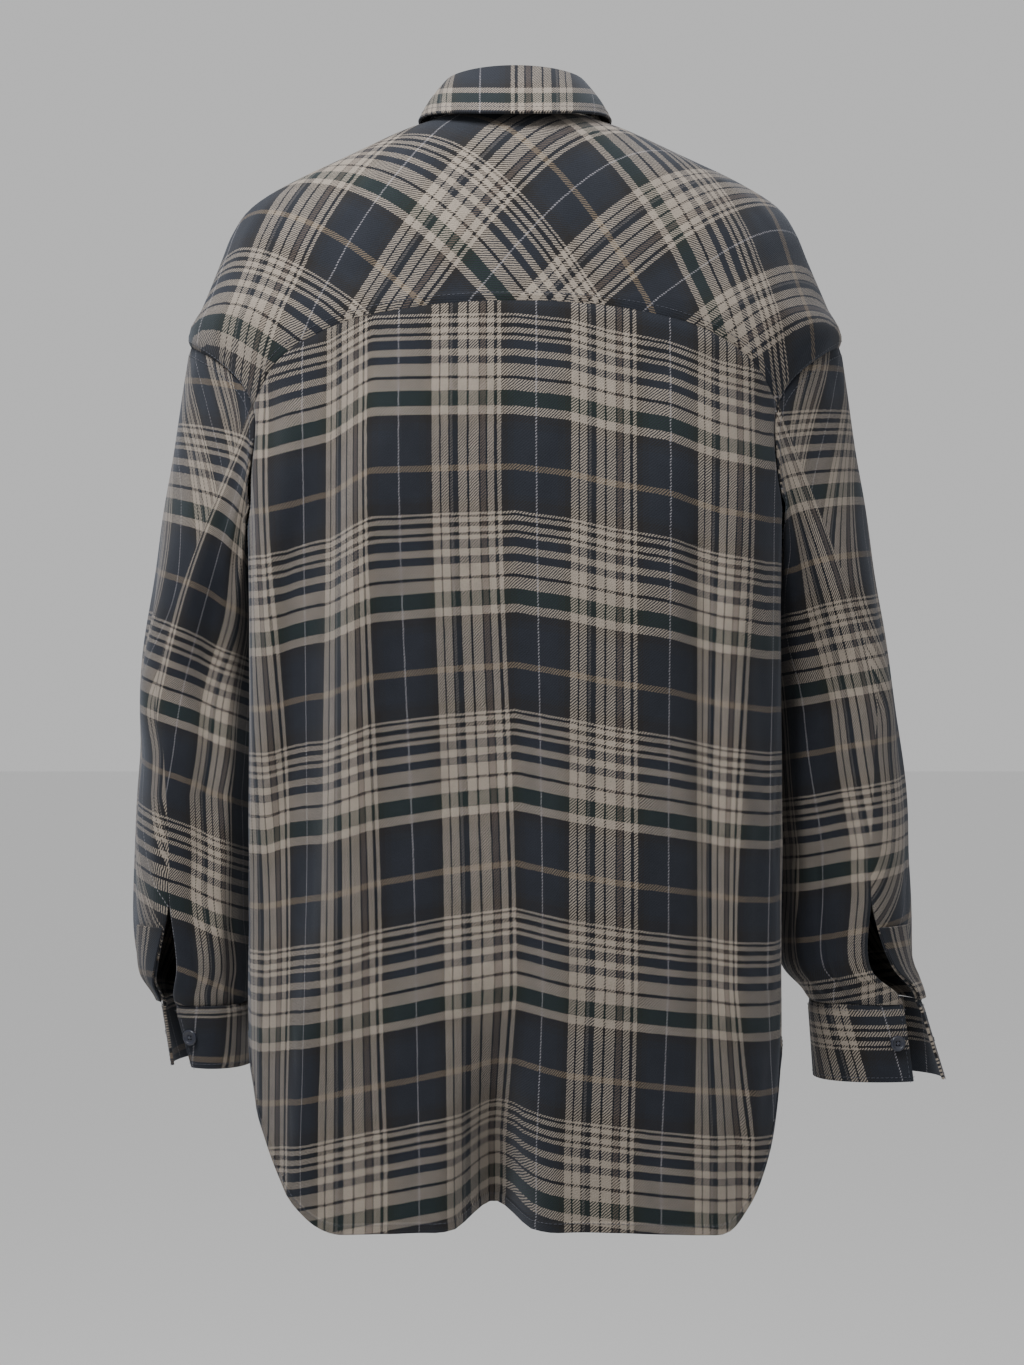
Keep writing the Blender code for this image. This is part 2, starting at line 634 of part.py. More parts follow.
def level_at_height(z):
    """The level where the centre front is at this height."""
    low, high = 0.0, LEVEL["tail"]
    for _ in range(40):
        middle = (low + high) / 2.0
        if torso(-90.0, middle).z > z:
            low = middle
        else:
            high = middle
    return low


def sleeve_pieces(word, rings, side, cloth, pale, button):
    """A sleeve, its placket, its open cuff and the cuff's button."""
    sleeve = Sleeve(rings, side)
    places = []
    for row in sleeve.places():
        half = sleeve.slit_half_turn(row[0][1])
        start = sleeve.slit_turn(row[0][1]) + half
        share = 1.0 - half / 180.0
        places.append([(start + (turn - BACK_TURN) * share, ring) for turn, ring in row])
    closed = [sleeve.slit_half_turn(row[0][1]) == 0.0 for row in places]
    top_normals = []
    for turn, ring in places[0]:
        angle, level = armhole((turn + 180.0) % 360.0 - 180.0)
        body = surface_normal(torso, angle if side > 0 else mirrored(angle), level, -1)
        own = surface_normal(sleeve.point, turn, ring, -side)
        under = (1.0 - math.cos(math.radians(turn))) / 2.0
        top_normals.append(mix(body, own, under).normalized())
    cloth_wall(
        f"sleeve_{word}",
        places,
        sleeve.point,
        cloth,
        -side,
        closed_down_to=closed.index(False) - 1,
        top_normals=top_normals,
    )

    wrist = rings[CUFF_SEAM_RING - 1]
    placket_turn = math.degrees(PLACKET_WIDTH / sleeve.girth_radius(wrist))
    top_ring = CUFF_SEAM_RING - PLACKET_LENGTH / (rings[2].z - rings[3].z)
    placket = []
    for ring in steps(top_ring, CUFF_SEAM_RING - 0.04, 5):
        end = sleeve.slit_turn(ring) + 360.0 - sleeve.slit_half_turn(ring)
        placket.append([(turn, ring) for turn in steps(end - placket_turn, end, 2)])
    cloth_wall(f"placket_{word}", placket, sleeve.point, pale, -side, lift=lambda turn, ring: LAYER_LIFT)

    half = sleeve.slit_half_turn(CUFF_SEAM_RING)
    slit = sleeve.slit_turn(CUFF_SEAM_RING)
    turns = steps(slit + half, slit + 360.0 - half, CUFF_COLUMNS)
    cuff = [[(turn, share) for turn in turns] for share in (0.02, 0.35, 0.7, 1.0)]
    cloth_wall(f"cuff_{word}", cuff, sleeve.cuff_point, pale, -side, thickness=DOUBLE_CLOTH)
    place = (slit + half + CUFF_BUTTON_TURN, 0.5)
    normal = surface_normal(sleeve.cuff_point, *place, -side)
    add_button(f"button_cuff_{word}", button, sleeve.cuff_point(*place), normal, 0.0)


def main():
    for obj in list(bpy.data.objects):
        bpy.data.objects.remove(obj, do_unlink=True)
    cloth = plain_material("flannel", NAVY, 0.92)
    pale = plain_material("flannel_pale", CREAM, 0.92)
    button = drilled_button_mesh(plain_material("button", BUTTON_NAVY, 0.35))

    cloth_wall("yoke", yoke_places(), torso, pale)
    cloth_wall("back", back_places(), torso, cloth)
    cloth_wall("front_left", front_places(), torso, cloth)
    right = [[(mirrored(angle), level) for angle, level in row] for row in front_places()]
    cloth_wall("front_right", right, torso, cloth, lift=front_lift)
    cloth_wall("button_band", band_places(), torso, pale, thickness=DOUBLE_CLOTH)
    cloth_wall(
        "buttonhole_band",
        band_places(),
        torso,
        pale,
        thickness=DOUBLE_CLOTH,
        lift=lambda angle, level: LAYER_LIFT,
    )
    stand = collar_surface(STAND)
    cloth_wall("collar_stand", stand_places(), stand, pale, 1, thickness=DOUBLE_CLOTH)
    cloth_wall(
        "collar_leaf", leaf_places(), collar_surface(LEAF), cloth, -1, thickness=DOUBLE_CLOTH
    )

    for index in range(FRONT_BUTTONS):
        height = TORSO[0].z_front - FIRST_BUTTON_DOWN - index * BUTTON_SPACING
        level = level_at_height(height)
        normal = surface_normal(torso, -90.0, level, -1)
        name = f"button_front_{index + 1}"
        add_button(name, button, torso(-90.0, level), normal, LAYER_LIFT)
    place = (270.0, 1.0)
    add_button("button_stand", button, stand(*place), surface_normal(stand, *place, 1), 0.0)

    sleeve_pieces("left", SLEEVE_LEFT, 1, cloth, pale, button)
    sleeve_pieces("right", SLEEVE_RIGHT, -1, cloth, pale, button)


main()
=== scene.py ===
"""The looks of an oversized plaid flannel shirt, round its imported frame. Metres, +Z up.

The wearer faces -Y and the wearer's left is +X, so the camera stands behind, at +Y.
"""

import bmesh
import bpy
import numpy as np
from mathutils import Matrix, Vector


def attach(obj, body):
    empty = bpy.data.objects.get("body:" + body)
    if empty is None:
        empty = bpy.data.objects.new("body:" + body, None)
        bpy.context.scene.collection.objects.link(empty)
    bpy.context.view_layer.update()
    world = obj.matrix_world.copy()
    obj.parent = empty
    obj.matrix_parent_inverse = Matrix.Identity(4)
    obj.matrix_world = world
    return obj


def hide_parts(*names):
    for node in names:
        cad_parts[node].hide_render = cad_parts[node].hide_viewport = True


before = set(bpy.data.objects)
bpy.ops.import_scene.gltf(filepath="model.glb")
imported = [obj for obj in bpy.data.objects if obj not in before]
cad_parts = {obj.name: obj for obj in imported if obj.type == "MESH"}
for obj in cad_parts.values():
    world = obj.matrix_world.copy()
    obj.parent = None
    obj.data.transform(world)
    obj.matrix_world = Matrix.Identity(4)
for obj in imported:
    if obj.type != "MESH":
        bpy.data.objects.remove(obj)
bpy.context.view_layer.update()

# ---------------------------------------------------------------------------------------------------
# The back panel. One layer of brushed flannel on the straight grain, sewn to the yoke along its top and
# to the sleeves and fronts at its sides, with a narrow turned hem that curves up at both side seams.

FLANNEL_WALL = 0.0014
HEM_DEPTH = 0.007
HEM_RISE = 0.0007  # how far the hem's second layer stands proud
SEAM_DIP = 0.0011  # how far a seam draws the cloth in
SEAM_DIP_REACH = 0.0030

YARNS = {
    "cream": (0.2294, 0.1972, 0.1624),
    "lilac": (0.1674, 0.1624, 0.1767),
    "black": (0.0056, 0.0050, 0.0056),
    "charcoal": (0.0093, 0.0099, 0.0118),
    "grey": (0.0682, 0.0626, 0.0589),
    "taupe": (0.0732, 0.0570, 0.0465),
    "umber": (0.0118, 0.0105, 0.0099),
    "slate": (0.0118, 0.0124, 0.0149),
    "navy": (0.0118, 0.0136, 0.0186),
    "green": (0.0081, 0.0167, 0.0130),
    "tan": (0.1178, 0.0918, 0.0651),
}
# The sett, stripe by stripe in millimetres: across the cloth, then down it.
WARP = (
    ("cream", 4.9), ("black", 1.2), ("cream", 5.4), ("black", 1.2), ("grey", 1.8), ("charcoal", 3.6),
    ("cream", 6.2), ("black", 1.3), ("cream", 6.8), ("black", 1.3), ("taupe", 3.6), ("black", 1.0),
    ("cream", 4.8), ("black", 2.0), ("cream", 2.9), ("umber", 4.0), ("slate", 4.0), ("navy", 14.0),
    ("lilac", 1.2), ("navy", 15.0), ("slate", 5.0), ("umber", 4.8),
)
WEFT = (
    ("green", 10.2), ("cream", 6.0), ("umber", 5.5), ("slate", 5.0), ("navy", 24.0), ("tan", 4.4),
    ("navy", 17.0), ("slate", 4.0), ("umber", 7.5), ("cream", 1.4), ("black", 1.4), ("cream", 3.6),
    ("black", 2.8), ("cream", 4.2), ("black", 2.0), ("cream", 2.8), ("navy", 6.0), ("cream", 4.9),
    ("navy", 5.5), ("cream", 8.7), ("black", 2.0), ("cream", 8.3),
)
WARP_REPEAT = sum(width for _, width in WARP) / 1000.0
WEFT_REPEAT = sum(width for _, width in WEFT) / 1000.0
TWILL_STEP = 0.0021  # from one twill line to the next


def stripes(nodes, links, chart, repeat, coordinate):
    """A colour ramp that repeats one direction of the sett."""
    share = nodes.new("ShaderNodeMath")
    share.operation = "DIVIDE"
    links.new(coordinate, share.inputs[0])
    share.inputs[1].default_value = repeat
    wrapped = nodes.new("ShaderNodeMath")
    wrapped.operation = "FRACT"
    links.new(share.outputs[0], wrapped.inputs[0])
    ramp = nodes.new("ShaderNodeValToRGB")
    ramp.color_ramp.interpolation = "CONSTANT"
    stops = ramp.color_ramp.elements
    start = 0.0
    for index, (yarn, width) in enumerate(chart):
        stop = stops[0] if index == 0 else stops.new(start / repeat)
        stop.position = start / repeat
        stop.color = (*YARNS[yarn], 1.0)
        start += width / 1000.0
    stops.remove(stops[-1])
    links.new(wrapped.outputs[0], ramp.inputs["Fac"])
    return ramp.outputs["Color"]


def math_node(nodes, links, operation, first, second=None, clamp=False):
    node = nodes.new("ShaderNodeMath")
    node.operation = operation
    node.use_clamp = clamp
    for socket, value in zip(node.inputs, (first, second)):
        if isinstance(value, (int, float)):
            socket.default_value = value
        elif value is not None:
            links.new(value, socket)
    return node.outputs[0]


def noise_node(nodes, links, vector, scale, detail, roughness=0.5):
    node = nodes.new("ShaderNodeTexNoise")
    node.inputs["Scale"].default_value = scale
    node.inputs["Detail"].default_value = detail
    node.inputs["Roughness"].default_value = roughness
    links.new(vector, node.inputs["Vector"])
    return node.outputs["Fac"]


def mix_colour(nodes, links, blend, share, first, second):
    node = nodes.new("ShaderNodeMix")
    node.data_type = "RGBA"
    node.blend_type = blend
    sockets = [node.inputs["Factor"], *(s for s in node.inputs if s.type == "RGBA")]
    for socket, value in zip(sockets, (share, first, second)):
        if isinstance(value, (int, float, tuple)):
            socket.default_value = value
        else:
            links.new(value, socket)
    return next(s for s in node.outputs if s.type == "RGBA")


def plaid_flannel(name):
    """Brushed twill flannel: warp and weft stripes that cross in twill lines, with a soft nap."""
    material = bpy.data.materials.new(name)
    material.use_nodes = True
    nodes, links = material.node_tree.nodes, material.node_tree.links
    shader = nodes["Principled BSDF"]
    uv = nodes.new("ShaderNodeUVMap")
    uv.uv_map = "Cloth"
    split = nodes.new("ShaderNodeSeparateXYZ")
    wobble = nodes.new("ShaderNodeTexNoise")
    wobble.inputs["Scale"].default_value = 260.0
    wobble.inputs["Detail"].default_value = 2.0
    links.new(uv.outputs["UV"], wobble.inputs["Vector"])
    shift = nodes.new("ShaderNodeVectorMath")
    shift.operation = "MULTIPLY_ADD"
    shift.inputs[1].default_value = (0.0011, 0.0011, 0.0)
    links.new(wobble.outputs["Color"], shift.inputs[0])
    links.new(uv.outputs["UV"], shift.inputs[2])
    links.new(shift.outputs[0], split.inputs[0])
    across, down = split.outputs["X"], split.outputs["Y"]
    warp = stripes(nodes, links, WARP, WARP_REPEAT, across)
    weft = stripes(nodes, links, WEFT, WEFT_REPEAT, down)

    step = math_node(nodes, links, "MULTIPLY", math_node(nodes, links, "ADD", across, down),
                     2.0 * np.pi / TWILL_STEP)
    wave = math_node(nodes, links, "SINE", step)
    fluff = noise_node(nodes, links, uv.outputs["UV"], 900.0, 3.0, 0.7)
    lifted = math_node(nodes, links, "MULTIPLY_ADD", wave, 1.15)
    nodes[-1].inputs[2].default_value = 0.5
    blur = math_node(nodes, links, "MULTIPLY_ADD", fluff, 2.4)
    nodes[-1].inputs[2].default_value = -1.2
    on_top = math_node(nodes, links, "ADD", lifted, blur, clamp=True)
    woven = mix_colour(nodes, links, "MIX", on_top, weft, warp)

    heather = noise_node(nodes, links, uv.outputs["UV"], 1500.0, 2.0, 0.6)
    patch = noise_node(nodes, links, uv.outputs["UV"], 55.0, 3.0, 0.6)
    shade = math_node(nodes, links, "MULTIPLY_ADD", heather, 1.5)
    nodes[-1].inputs[2].default_value = 0.10
    worn = math_node(nodes, links, "MULTIPLY_ADD", patch, 0.5)
    nodes[-1].inputs[2].default_value = 0.75
    tone = math_node(nodes, links, "MULTIPLY", shade, worn)
    toned = nodes.new("ShaderNodeVectorMath")
    toned.operation = "SCALE"
    links.new(woven, toned.inputs[0])
    links.new(tone, toned.inputs["Scale"])
    links.new(toned.outputs[0], shader.inputs["Base Color"])

    height = math_node(nodes, links, "ADD", math_node(nodes, links, "MULTIPLY", wave, 0.25), fluff)
    bump = nodes.new("ShaderNodeBump")
    bump.inputs["Strength"].default_value = 0.45
    bump.inputs["Distance"].default_value = 0.0004
    links.new(height, bump.inputs["Height"])
    links.new(bump.outputs[0], shader.inputs["Normal"])
    shader.inputs["Roughness"].default_value = 0.93
    shader.inputs["Specular IOR Level"].default_value = 0.15
    shader.inputs["Sheen Weight"].default_value = 0.10
    shader.inputs["Sheen Roughness"].default_value = 0.55
    shader.inputs["Sheen Tint"].default_value = (0.80, 0.86, 1.0, 1.0)
    return material


flannel = plaid_flannel("plaid_flannel")

# Sections of the shirt's body from neckline to tail, the same that the frame is lofted through.
TORSO_SECTIONS = {
    "neckline": (0.003, 0.004, -0.070, 0.063, 0.060, -0.002, -0.064, 2.0, 2.0),
    "under_collar": (-0.015, -0.004, -0.084, 0.087, 0.079, -0.002, -0.074, 2.0, 2.0),
    "shoulder_in": (-0.042, -0.021, -0.104, 0.1235, 0.093, -0.002, -0.086, 2.1, 2.0),
    "shoulder_mid": (-0.072, -0.040, -0.128, 0.164, 0.1035, -0.001, -0.098, 2.1, 2.0),
    "shoulder_out": (-0.098, -0.058, -0.150, 0.193, 0.110, -0.001, -0.107, 2.1, 2.0),
    "arm_top": (-0.116, -0.0765, -0.168, 0.206, 0.113, -0.001, -0.113, 2.2, 2.0),
    "arm_upper": (-0.127, -0.098, -0.180, 0.2145, 0.115, 0.000, -0.118, 2.2, 2.0),
    "arm_lower": (-0.135, -0.132, -0.197, 0.228, 0.1165, 0.000, -0.122, 2.3, 2.1),
    "shoulder_seam": (-0.141, -0.161, -0.215, 0.238, 0.118, 0.001, -0.126, 2.3, 2.1),
    "blade": (-0.180, -0.215, -0.245, 0.204, 0.121, 0.010, -0.132, 2.7, 2.1),
    "armhole_mid": (-0.240, -0.270, -0.290, 0.194, 0.124, 0.035, -0.137, 2.9, 2.0),
    "underarm": (-0.300, -0.330, -0.335, 0.190, 0.124, 0.045, -0.138, 3.0, 2.0),
    "waist": (-0.450, -0.478, -0.470, 0.190, 0.122, 0.045, -0.130, 3.0, 2.0),
    "hip": (-0.620, -0.648, -0.630, 0.190, 0.128, 0.045, -0.130, 2.9, 2.0),
    "tail": (-0.7845, -0.798, -0.765, 0.186, 0.131, 0.045, -0.128, 2.8, 2.0),
}
TORSO = np.array(list(TORSO_SECTIONS.values()))
LEVEL = {name: index for index, name in enumerate(TORSO_SECTIONS)}
ARMHOLE_BACK = 36.6
ARMHOLE_FRONT = 29.0
SIDE_SEAM_ANGLE = -14.0
YOKE_CORNER_ANGLE = 31.0
FRONT_YOKE_DROP = 0.030
SIDE_HEM_SHARE = 0.10
HEM_CURVE_LEFT = (20.0, 68.0)
HEM_CURVE_RIGHT = (17.0, 61.0)

# The cloth's folds, long ones first: side, line from top to low, half width, depth (out, or in if
# negative) and lean, which makes the flank on the wearer's left steeper.
FOLDS = {
    "back_left_hollow": ("back", 0.128, -0.150, 0.160, -0.640, 0.021, -0.015, 0.0),
    "back_left_crest": ("back", 0.098, -0.160, 0.118, -0.700, 0.018, 0.006, 0.0),
    "back_right_crest": ("back", -0.086, -0.200, -0.088, -0.640, 0.020, 0.005, 0.0),
    "back_right_hollow": ("back", -0.124, -0.240, -0.136, -0.720, 0.018, -0.012, 0.0),
    "front_left_hollow": ("front", 0.085, -0.260, 0.105, -0.700, 0.022, -0.009, 0.0),
    "front_right_hollow": ("front", -0.080, -0.260, -0.100, -0.700, 0.022, -0.009, 0.0),
    "left_step": ("back", 0.103, -0.130, 0.137, -0.690, 0.011, 0.0085, 0.55),
    "left_low_ridge": ("back", 0.138, -0.540, 0.160, -0.820, 0.009, 0.0095, 0.5),
    "left_edge_hollow": ("back", 0.150, -0.200, 0.172, -0.600, 0.010, -0.0055, 0.0),
    "left_inner_soft": ("back", 0.066, -0.300, 0.078, -0.760, 0.014, 0.0040, -0.3),
    "centre_soft": ("back", 0.030, -0.160, 0.034, -0.560, 0.022, -0.0036, 0.0),
    "centre_right_soft": ("back", -0.036, -0.250, -0.030, -0.800, 0.017, 0.0044, 0.2),
    "right_step": ("back", -0.112, -0.190, -0.126, -0.700, 0.010, 0.0062, -0.4),
    "right_edge_ridge": ("back", -0.158, -0.220, -0.160, -0.700, 0.011, 0.0062, -0.5),
    "right_tail_fan": ("back", -0.140, -0.620, -0.166, -0.830, 0.010, -0.0062, 0.0),
    "tail_left_roll": ("back", 0.052, -0.640, 0.046, -0.860, 0.015, 0.0070, 0.3),
    "tail_right_roll": ("back", -0.016, -0.640, -0.026, -0.860, 0.017, 0.0080, -0.3),
    "front_left_step": ("front", 0.062, -0.230, 0.080, -0.720, 0.013, 0.0045, 0.4),
    "front_right_step": ("front", -0.058, -0.210, -0.074, -0.690, 0.012, 0.0040, -0.4),
    "front_left_edge": ("front", 0.132, -0.300, 0.140, -0.680, 0.016, 0.0040, 0.0),
    "front_right_edge": ("front", -0.128, -0.280, -0.142, -0.700, 0.015, 0.0036, 0.0),
    "front_left_soft": ("front", 0.036, -0.330, 0.040, -0.800, 0.012, -0.0025, 0.0),
    "front_right_soft": ("front", -0.038, -0.300, -0.044, -0.780, 0.013, -0.0028, 0.0),
}
TAIL_PLEAT = (0.014, -0.600, 0.016, -0.860, 0.024, -0.058)
TAIL_PLEAT_START = 0.010
TAIL_PLEAT_RISE = 0.25
# Small uneven ripples: wave length round the body, slant, phase and height.
RIPPLES = (
    (0.061, 1.7, 0.10, 0.00055),
    (0.043, -2.6, 0.37, 0.00042),
    (0.029, 1.1, 0.71, 0.00030),
    (0.087, 5.3, 0.55, 0.00050),
    (0.035, -7.9, 0.23, 0.00026),
)
BODY_GIRTH = 1.18


def smooth_step(value):
    value = np.clip(value, 0.0, 1.0)
    return value * value * (3.0 - 2.0 * value)


def mix(start, end, share):
    return start + (end - start) * share


def curve_through(values, place):
    """A smooth curve through evenly spaced values (count, ..., n), read at places (...)."""
    count = len(values)
    values = np.broadcast_to(values, (count, *place.shape, values.shape[-1]))
    place = np.clip(place, 0.0, count - 1.0)
    index = np.minimum(place.astype(int), count - 2)
    t = (place - index)[..., None]

    def row(number):
        number = np.clip(number, 0, count - 1)
        return np.take_along_axis(values, number[None, ..., None], 0)[0]

    here, there = row(index), row(index + 1)
    before = np.where((index > 0)[..., None], row(index - 1), 2.0 * here - there)
    after = np.where((index + 2 < count)[..., None], row(index + 2), 2.0 * there - here)
    bend = (2.0 * before - 5.0 * here + 4.0 * there - after) * t * t
    twist = (3.0 * here - before - 3.0 * there + after) * t * t * t
    return here + 0.5 * ((there - before) * t + bend + twist)


def sections_at(table, level):
    """Each size of the sections at these levels, as separate arrays."""
    level = np.asarray(level, float)
    spread = table.reshape(len(table), *([1] * level.ndim), table.shape[1])
    return np.moveaxis(curve_through(spread, level), -1, 0)


def section_points(table, angle, level):
    """Points of a lofted surface, and the direction out of it, level with the ground."""
    angle, level = np.broadcast_arrays(angle, level)
    sizes = sections_at(table, level)
    z_back, z_side, z_front, half_width, y_back, y_wide, y_front, n_back, n_front = sizes
    cosine, sine = np.cos(np.radians(angle)), np.sin(np.radians(angle))
    behind = sine >= 0.0
    squareness = np.where(behind, n_back, n_front)
    radius = (np.abs(cosine) ** squareness + np.abs(sine) ** squareness) ** (-1.0 / squareness)
    depth = np.where(behind, y_back - y_wide, y_wide - y_front)
    z_middle = np.where(behind, z_back, z_front)
    x, y = half_width * radius * cosine, depth * radius * sine
    points = np.stack([x, y_wide + y, z_side + (z_middle - z_side) * sine**2], -1)
    outward = np.stack([x / half_width**2, y / depth**2, np.zeros_like(x)], -1)
    return points, outward / np.linalg.norm(outward, axis=-1, keepdims=True)


def torso_base(angle, level):
    return section_points(TORSO, angle, level)[0]


def fold_shape(x, z, x_top, z_top, x_low, z_low, half_width, lean):
    """How strongly a fold acts at a point, from 0 to 1, and its share of the way down."""
    along = (z - z_top) / (z_low - z_top)
    across = (x - mix(x_top, x_low, np.clip(along, 0.0, 1.0))) / half_width
    across = across * (1.0 + lean * np.sign(across))
    return np.exp(-across * across), along


def torso(angle, level):
    """A point on the shirt's body, with its folds and ripples."""
    angle, level = np.broadcast_arrays(np.asarray(angle, float), np.asarray(level, float))
    points, outward = section_points(TORSO, angle, level)
    x, z = points[..., 0].copy(), points[..., 2].copy()
    behind = np.sin(np.radians(angle)) > 0.0
    depth = np.zeros(angle.shape)
    for side, x_top, z_top, x_low, z_low, half_width, height, lean in FOLDS.values():
        shape, along = fold_shape(x, z, x_top, z_top, x_low, z_low, half_width, lean)
        strength = smooth_step(along * 3.0) * smooth_step((1.0 - along) * 4.0)
        depth += np.where(behind == (side == "back"), height * shape * strength, 0.0)
    shape, along = fold_shape(x, z, *TAIL_PLEAT[:5], 0.0)
    depth += np.where(behind, TAIL_PLEAT[5] * shape * smooth_step(along * 1.25), 0.0)
    points[..., 1] += np.where(behind, 1.0, -1.0) * depth
    points[..., 2] -= np.minimum(depth + TAIL_PLEAT_START, 0.0) * TAIL_PLEAT_RISE
    ripple = np.zeros(angle.shape)
    around = angle / 360.0 * BODY_GIRTH
    for length, slant, phase, height in RIPPLES:
        turn = 2.0 * np.pi * (around / length + slant * z + phase)
        ripple += height * np.sin(turn) * (0.6 + 0.4 * np.sin(2.0 * np.pi * (z / (5.0 * length) + phase)))
    calm = smooth_step((0.02 - z) / 0.12)
    return points + outward * (ripple * calm)[..., None]


def side_angle(level):
    share = (level - LEVEL["shoulder_seam"]) / (LEVEL["underarm"] - LEVEL["shoulder_seam"])
    return SIDE_SEAM_ANGLE * smooth_step(share)


def armhole(turn):
    """Angle and level on the left armhole: turn 0 at the shoulder, 180 under the arm, 90 at the back."""
    radians = np.radians(turn)
    span = LEVEL["underarm"] - LEVEL["shoulder_seam"]
    level = LEVEL["shoulder_seam"] + span * (1.0 - np.cos(radians)) / 2.0
    reach = np.where(np.sin(radians) > 0.0, ARMHOLE_BACK, ARMHOLE_FRONT)
    return side_angle(level) + reach * np.sin(radians), level


def yoke_front_angle(level):
    """The front yoke seam stays one drop in front of the shoulder line, up to the shoulder seam."""
    _, _, _, _, _, y_wide, y_front, _, _ = sections_at(TORSO, np.minimum(level, LEVEL["shoulder_seam"]))
    return np.degrees(np.arcsin(FRONT_YOKE_DROP / (y_wide - y_front)))


YOKE_FRONT_ANGLE = -float(yoke_front_angle(np.array(float(LEVEL["shoulder_seam"]))))
SEAM_TURNS = np.linspace(-60.0, 75.0, 2701)  # over these the armhole's angle only grows
FRONT_TURN = float(np.interp(YOKE_FRONT_ANGLE, armhole(SEAM_TURNS)[0], SEAM_TURNS))
BACK_TURN = float(np.interp(YOKE_CORNER_ANGLE, armhole(SEAM_TURNS)[0], SEAM_TURNS))
CORNER_LEVEL = float(armhole(BACK_TURN)[1])


def yoke_edge_level(angle):
    """Level of the yoke's lower edge: the armhole at both ends, and the back seam between them."""
    off_side = np.where(angle < 90.0, angle, 180.0 - angle)
    turn = np.interp(off_side, armhole(SEAM_TURNS)[0], SEAM_TURNS)
    off_centre = (90.0 - off_side) / (90.0 - YOKE_CORNER_ANGLE)
    back = mix(LEVEL["shoulder_seam"], CORNER_LEVEL, off_centre * off_centre)
    return np.where(off_side < YOKE_CORNER_ANGLE, armhole(turn)[1], back)


def hem_level(angle):
    on_left = angle < 90.0
    off_side = np.where(on_left, angle - SIDE_SEAM_ANGLE, 180.0 - SIDE_SEAM_ANGLE - angle)
    off_side = np.abs(off_side)
    start = np.where(on_left, HEM_CURVE_LEFT[0], HEM_CURVE_RIGHT[0])
    end = np.where(on_left, HEM_CURVE_LEFT[1], HEM_CURVE_RIGHT[1])
    share = smooth_step((off_side - start) / (end - start))
    return LEVEL["hip"] + mix(SIDE_HEM_SHARE, 1.0, share)


def shares(count, hem=0.0):
    """Shares from 0 to 1 with short steps at both ends, and over the hem where there is one."""
    plain = np.linspace(0.0, 1.0, count + 1)
    first = plain[1] * np.array([0.12, 0.3, 0.6])
    found = np.concatenate([plain, first, 1.0 - first])
    if hem:
        found = np.concatenate([found, 1.0 - hem * np.array([0.5, 0.8, 0.92, 1.0, 1.08, 1.2, 1.5, 2.0])])
    return np.unique(np.round(found, 7))


def distance_from(points, axis, end):
    """Distance along the rows or columns of a grid from its first (0) or last (-1) line."""
    lengths = np.linalg.norm(np.diff(points, axis=axis), axis=-1)
    total = np.cumsum(lengths, axis=axis)
    zero = np.zeros_like(np.take(total, [0], axis=axis))
    along = np.concatenate([zero, total], axis=axis)
    return along if end == 0 else np.take(along, [-1], axis=axis) - along


def grid_normals(points, outward, joined):
    down, across = np.gradient(points, axis=0), np.gradient(points, axis=1)
    if joined:
        wrapped = (points[:joined, 1] - points[:joined, -2]) / 2.0
        across[:joined, 0] = wrapped
        across[:joined, -1] = wrapped
    normals = np.cross(across, down) * outward
    return normals / np.maximum(np.linalg.norm(normals, axis=-1, keepdims=True), 1e-12)


SIDES = {"top": (0, 0), "low": (0, -1), "start": (1, 0), "finish": (1, -1)}


def seam_dip(points, sides):
    """How far the cloth is drawn in beside the seams on these sides of its grid."""
    dip = np.zeros(points.shape[:2])
    for side in sides:
        axis, end = SIDES[side]
        away = distance_from(points, axis, end)
        dip = np.maximum(dip, SEAM_DIP * np.exp(-((away / SEAM_DIP_REACH) ** 2)))
    return dip


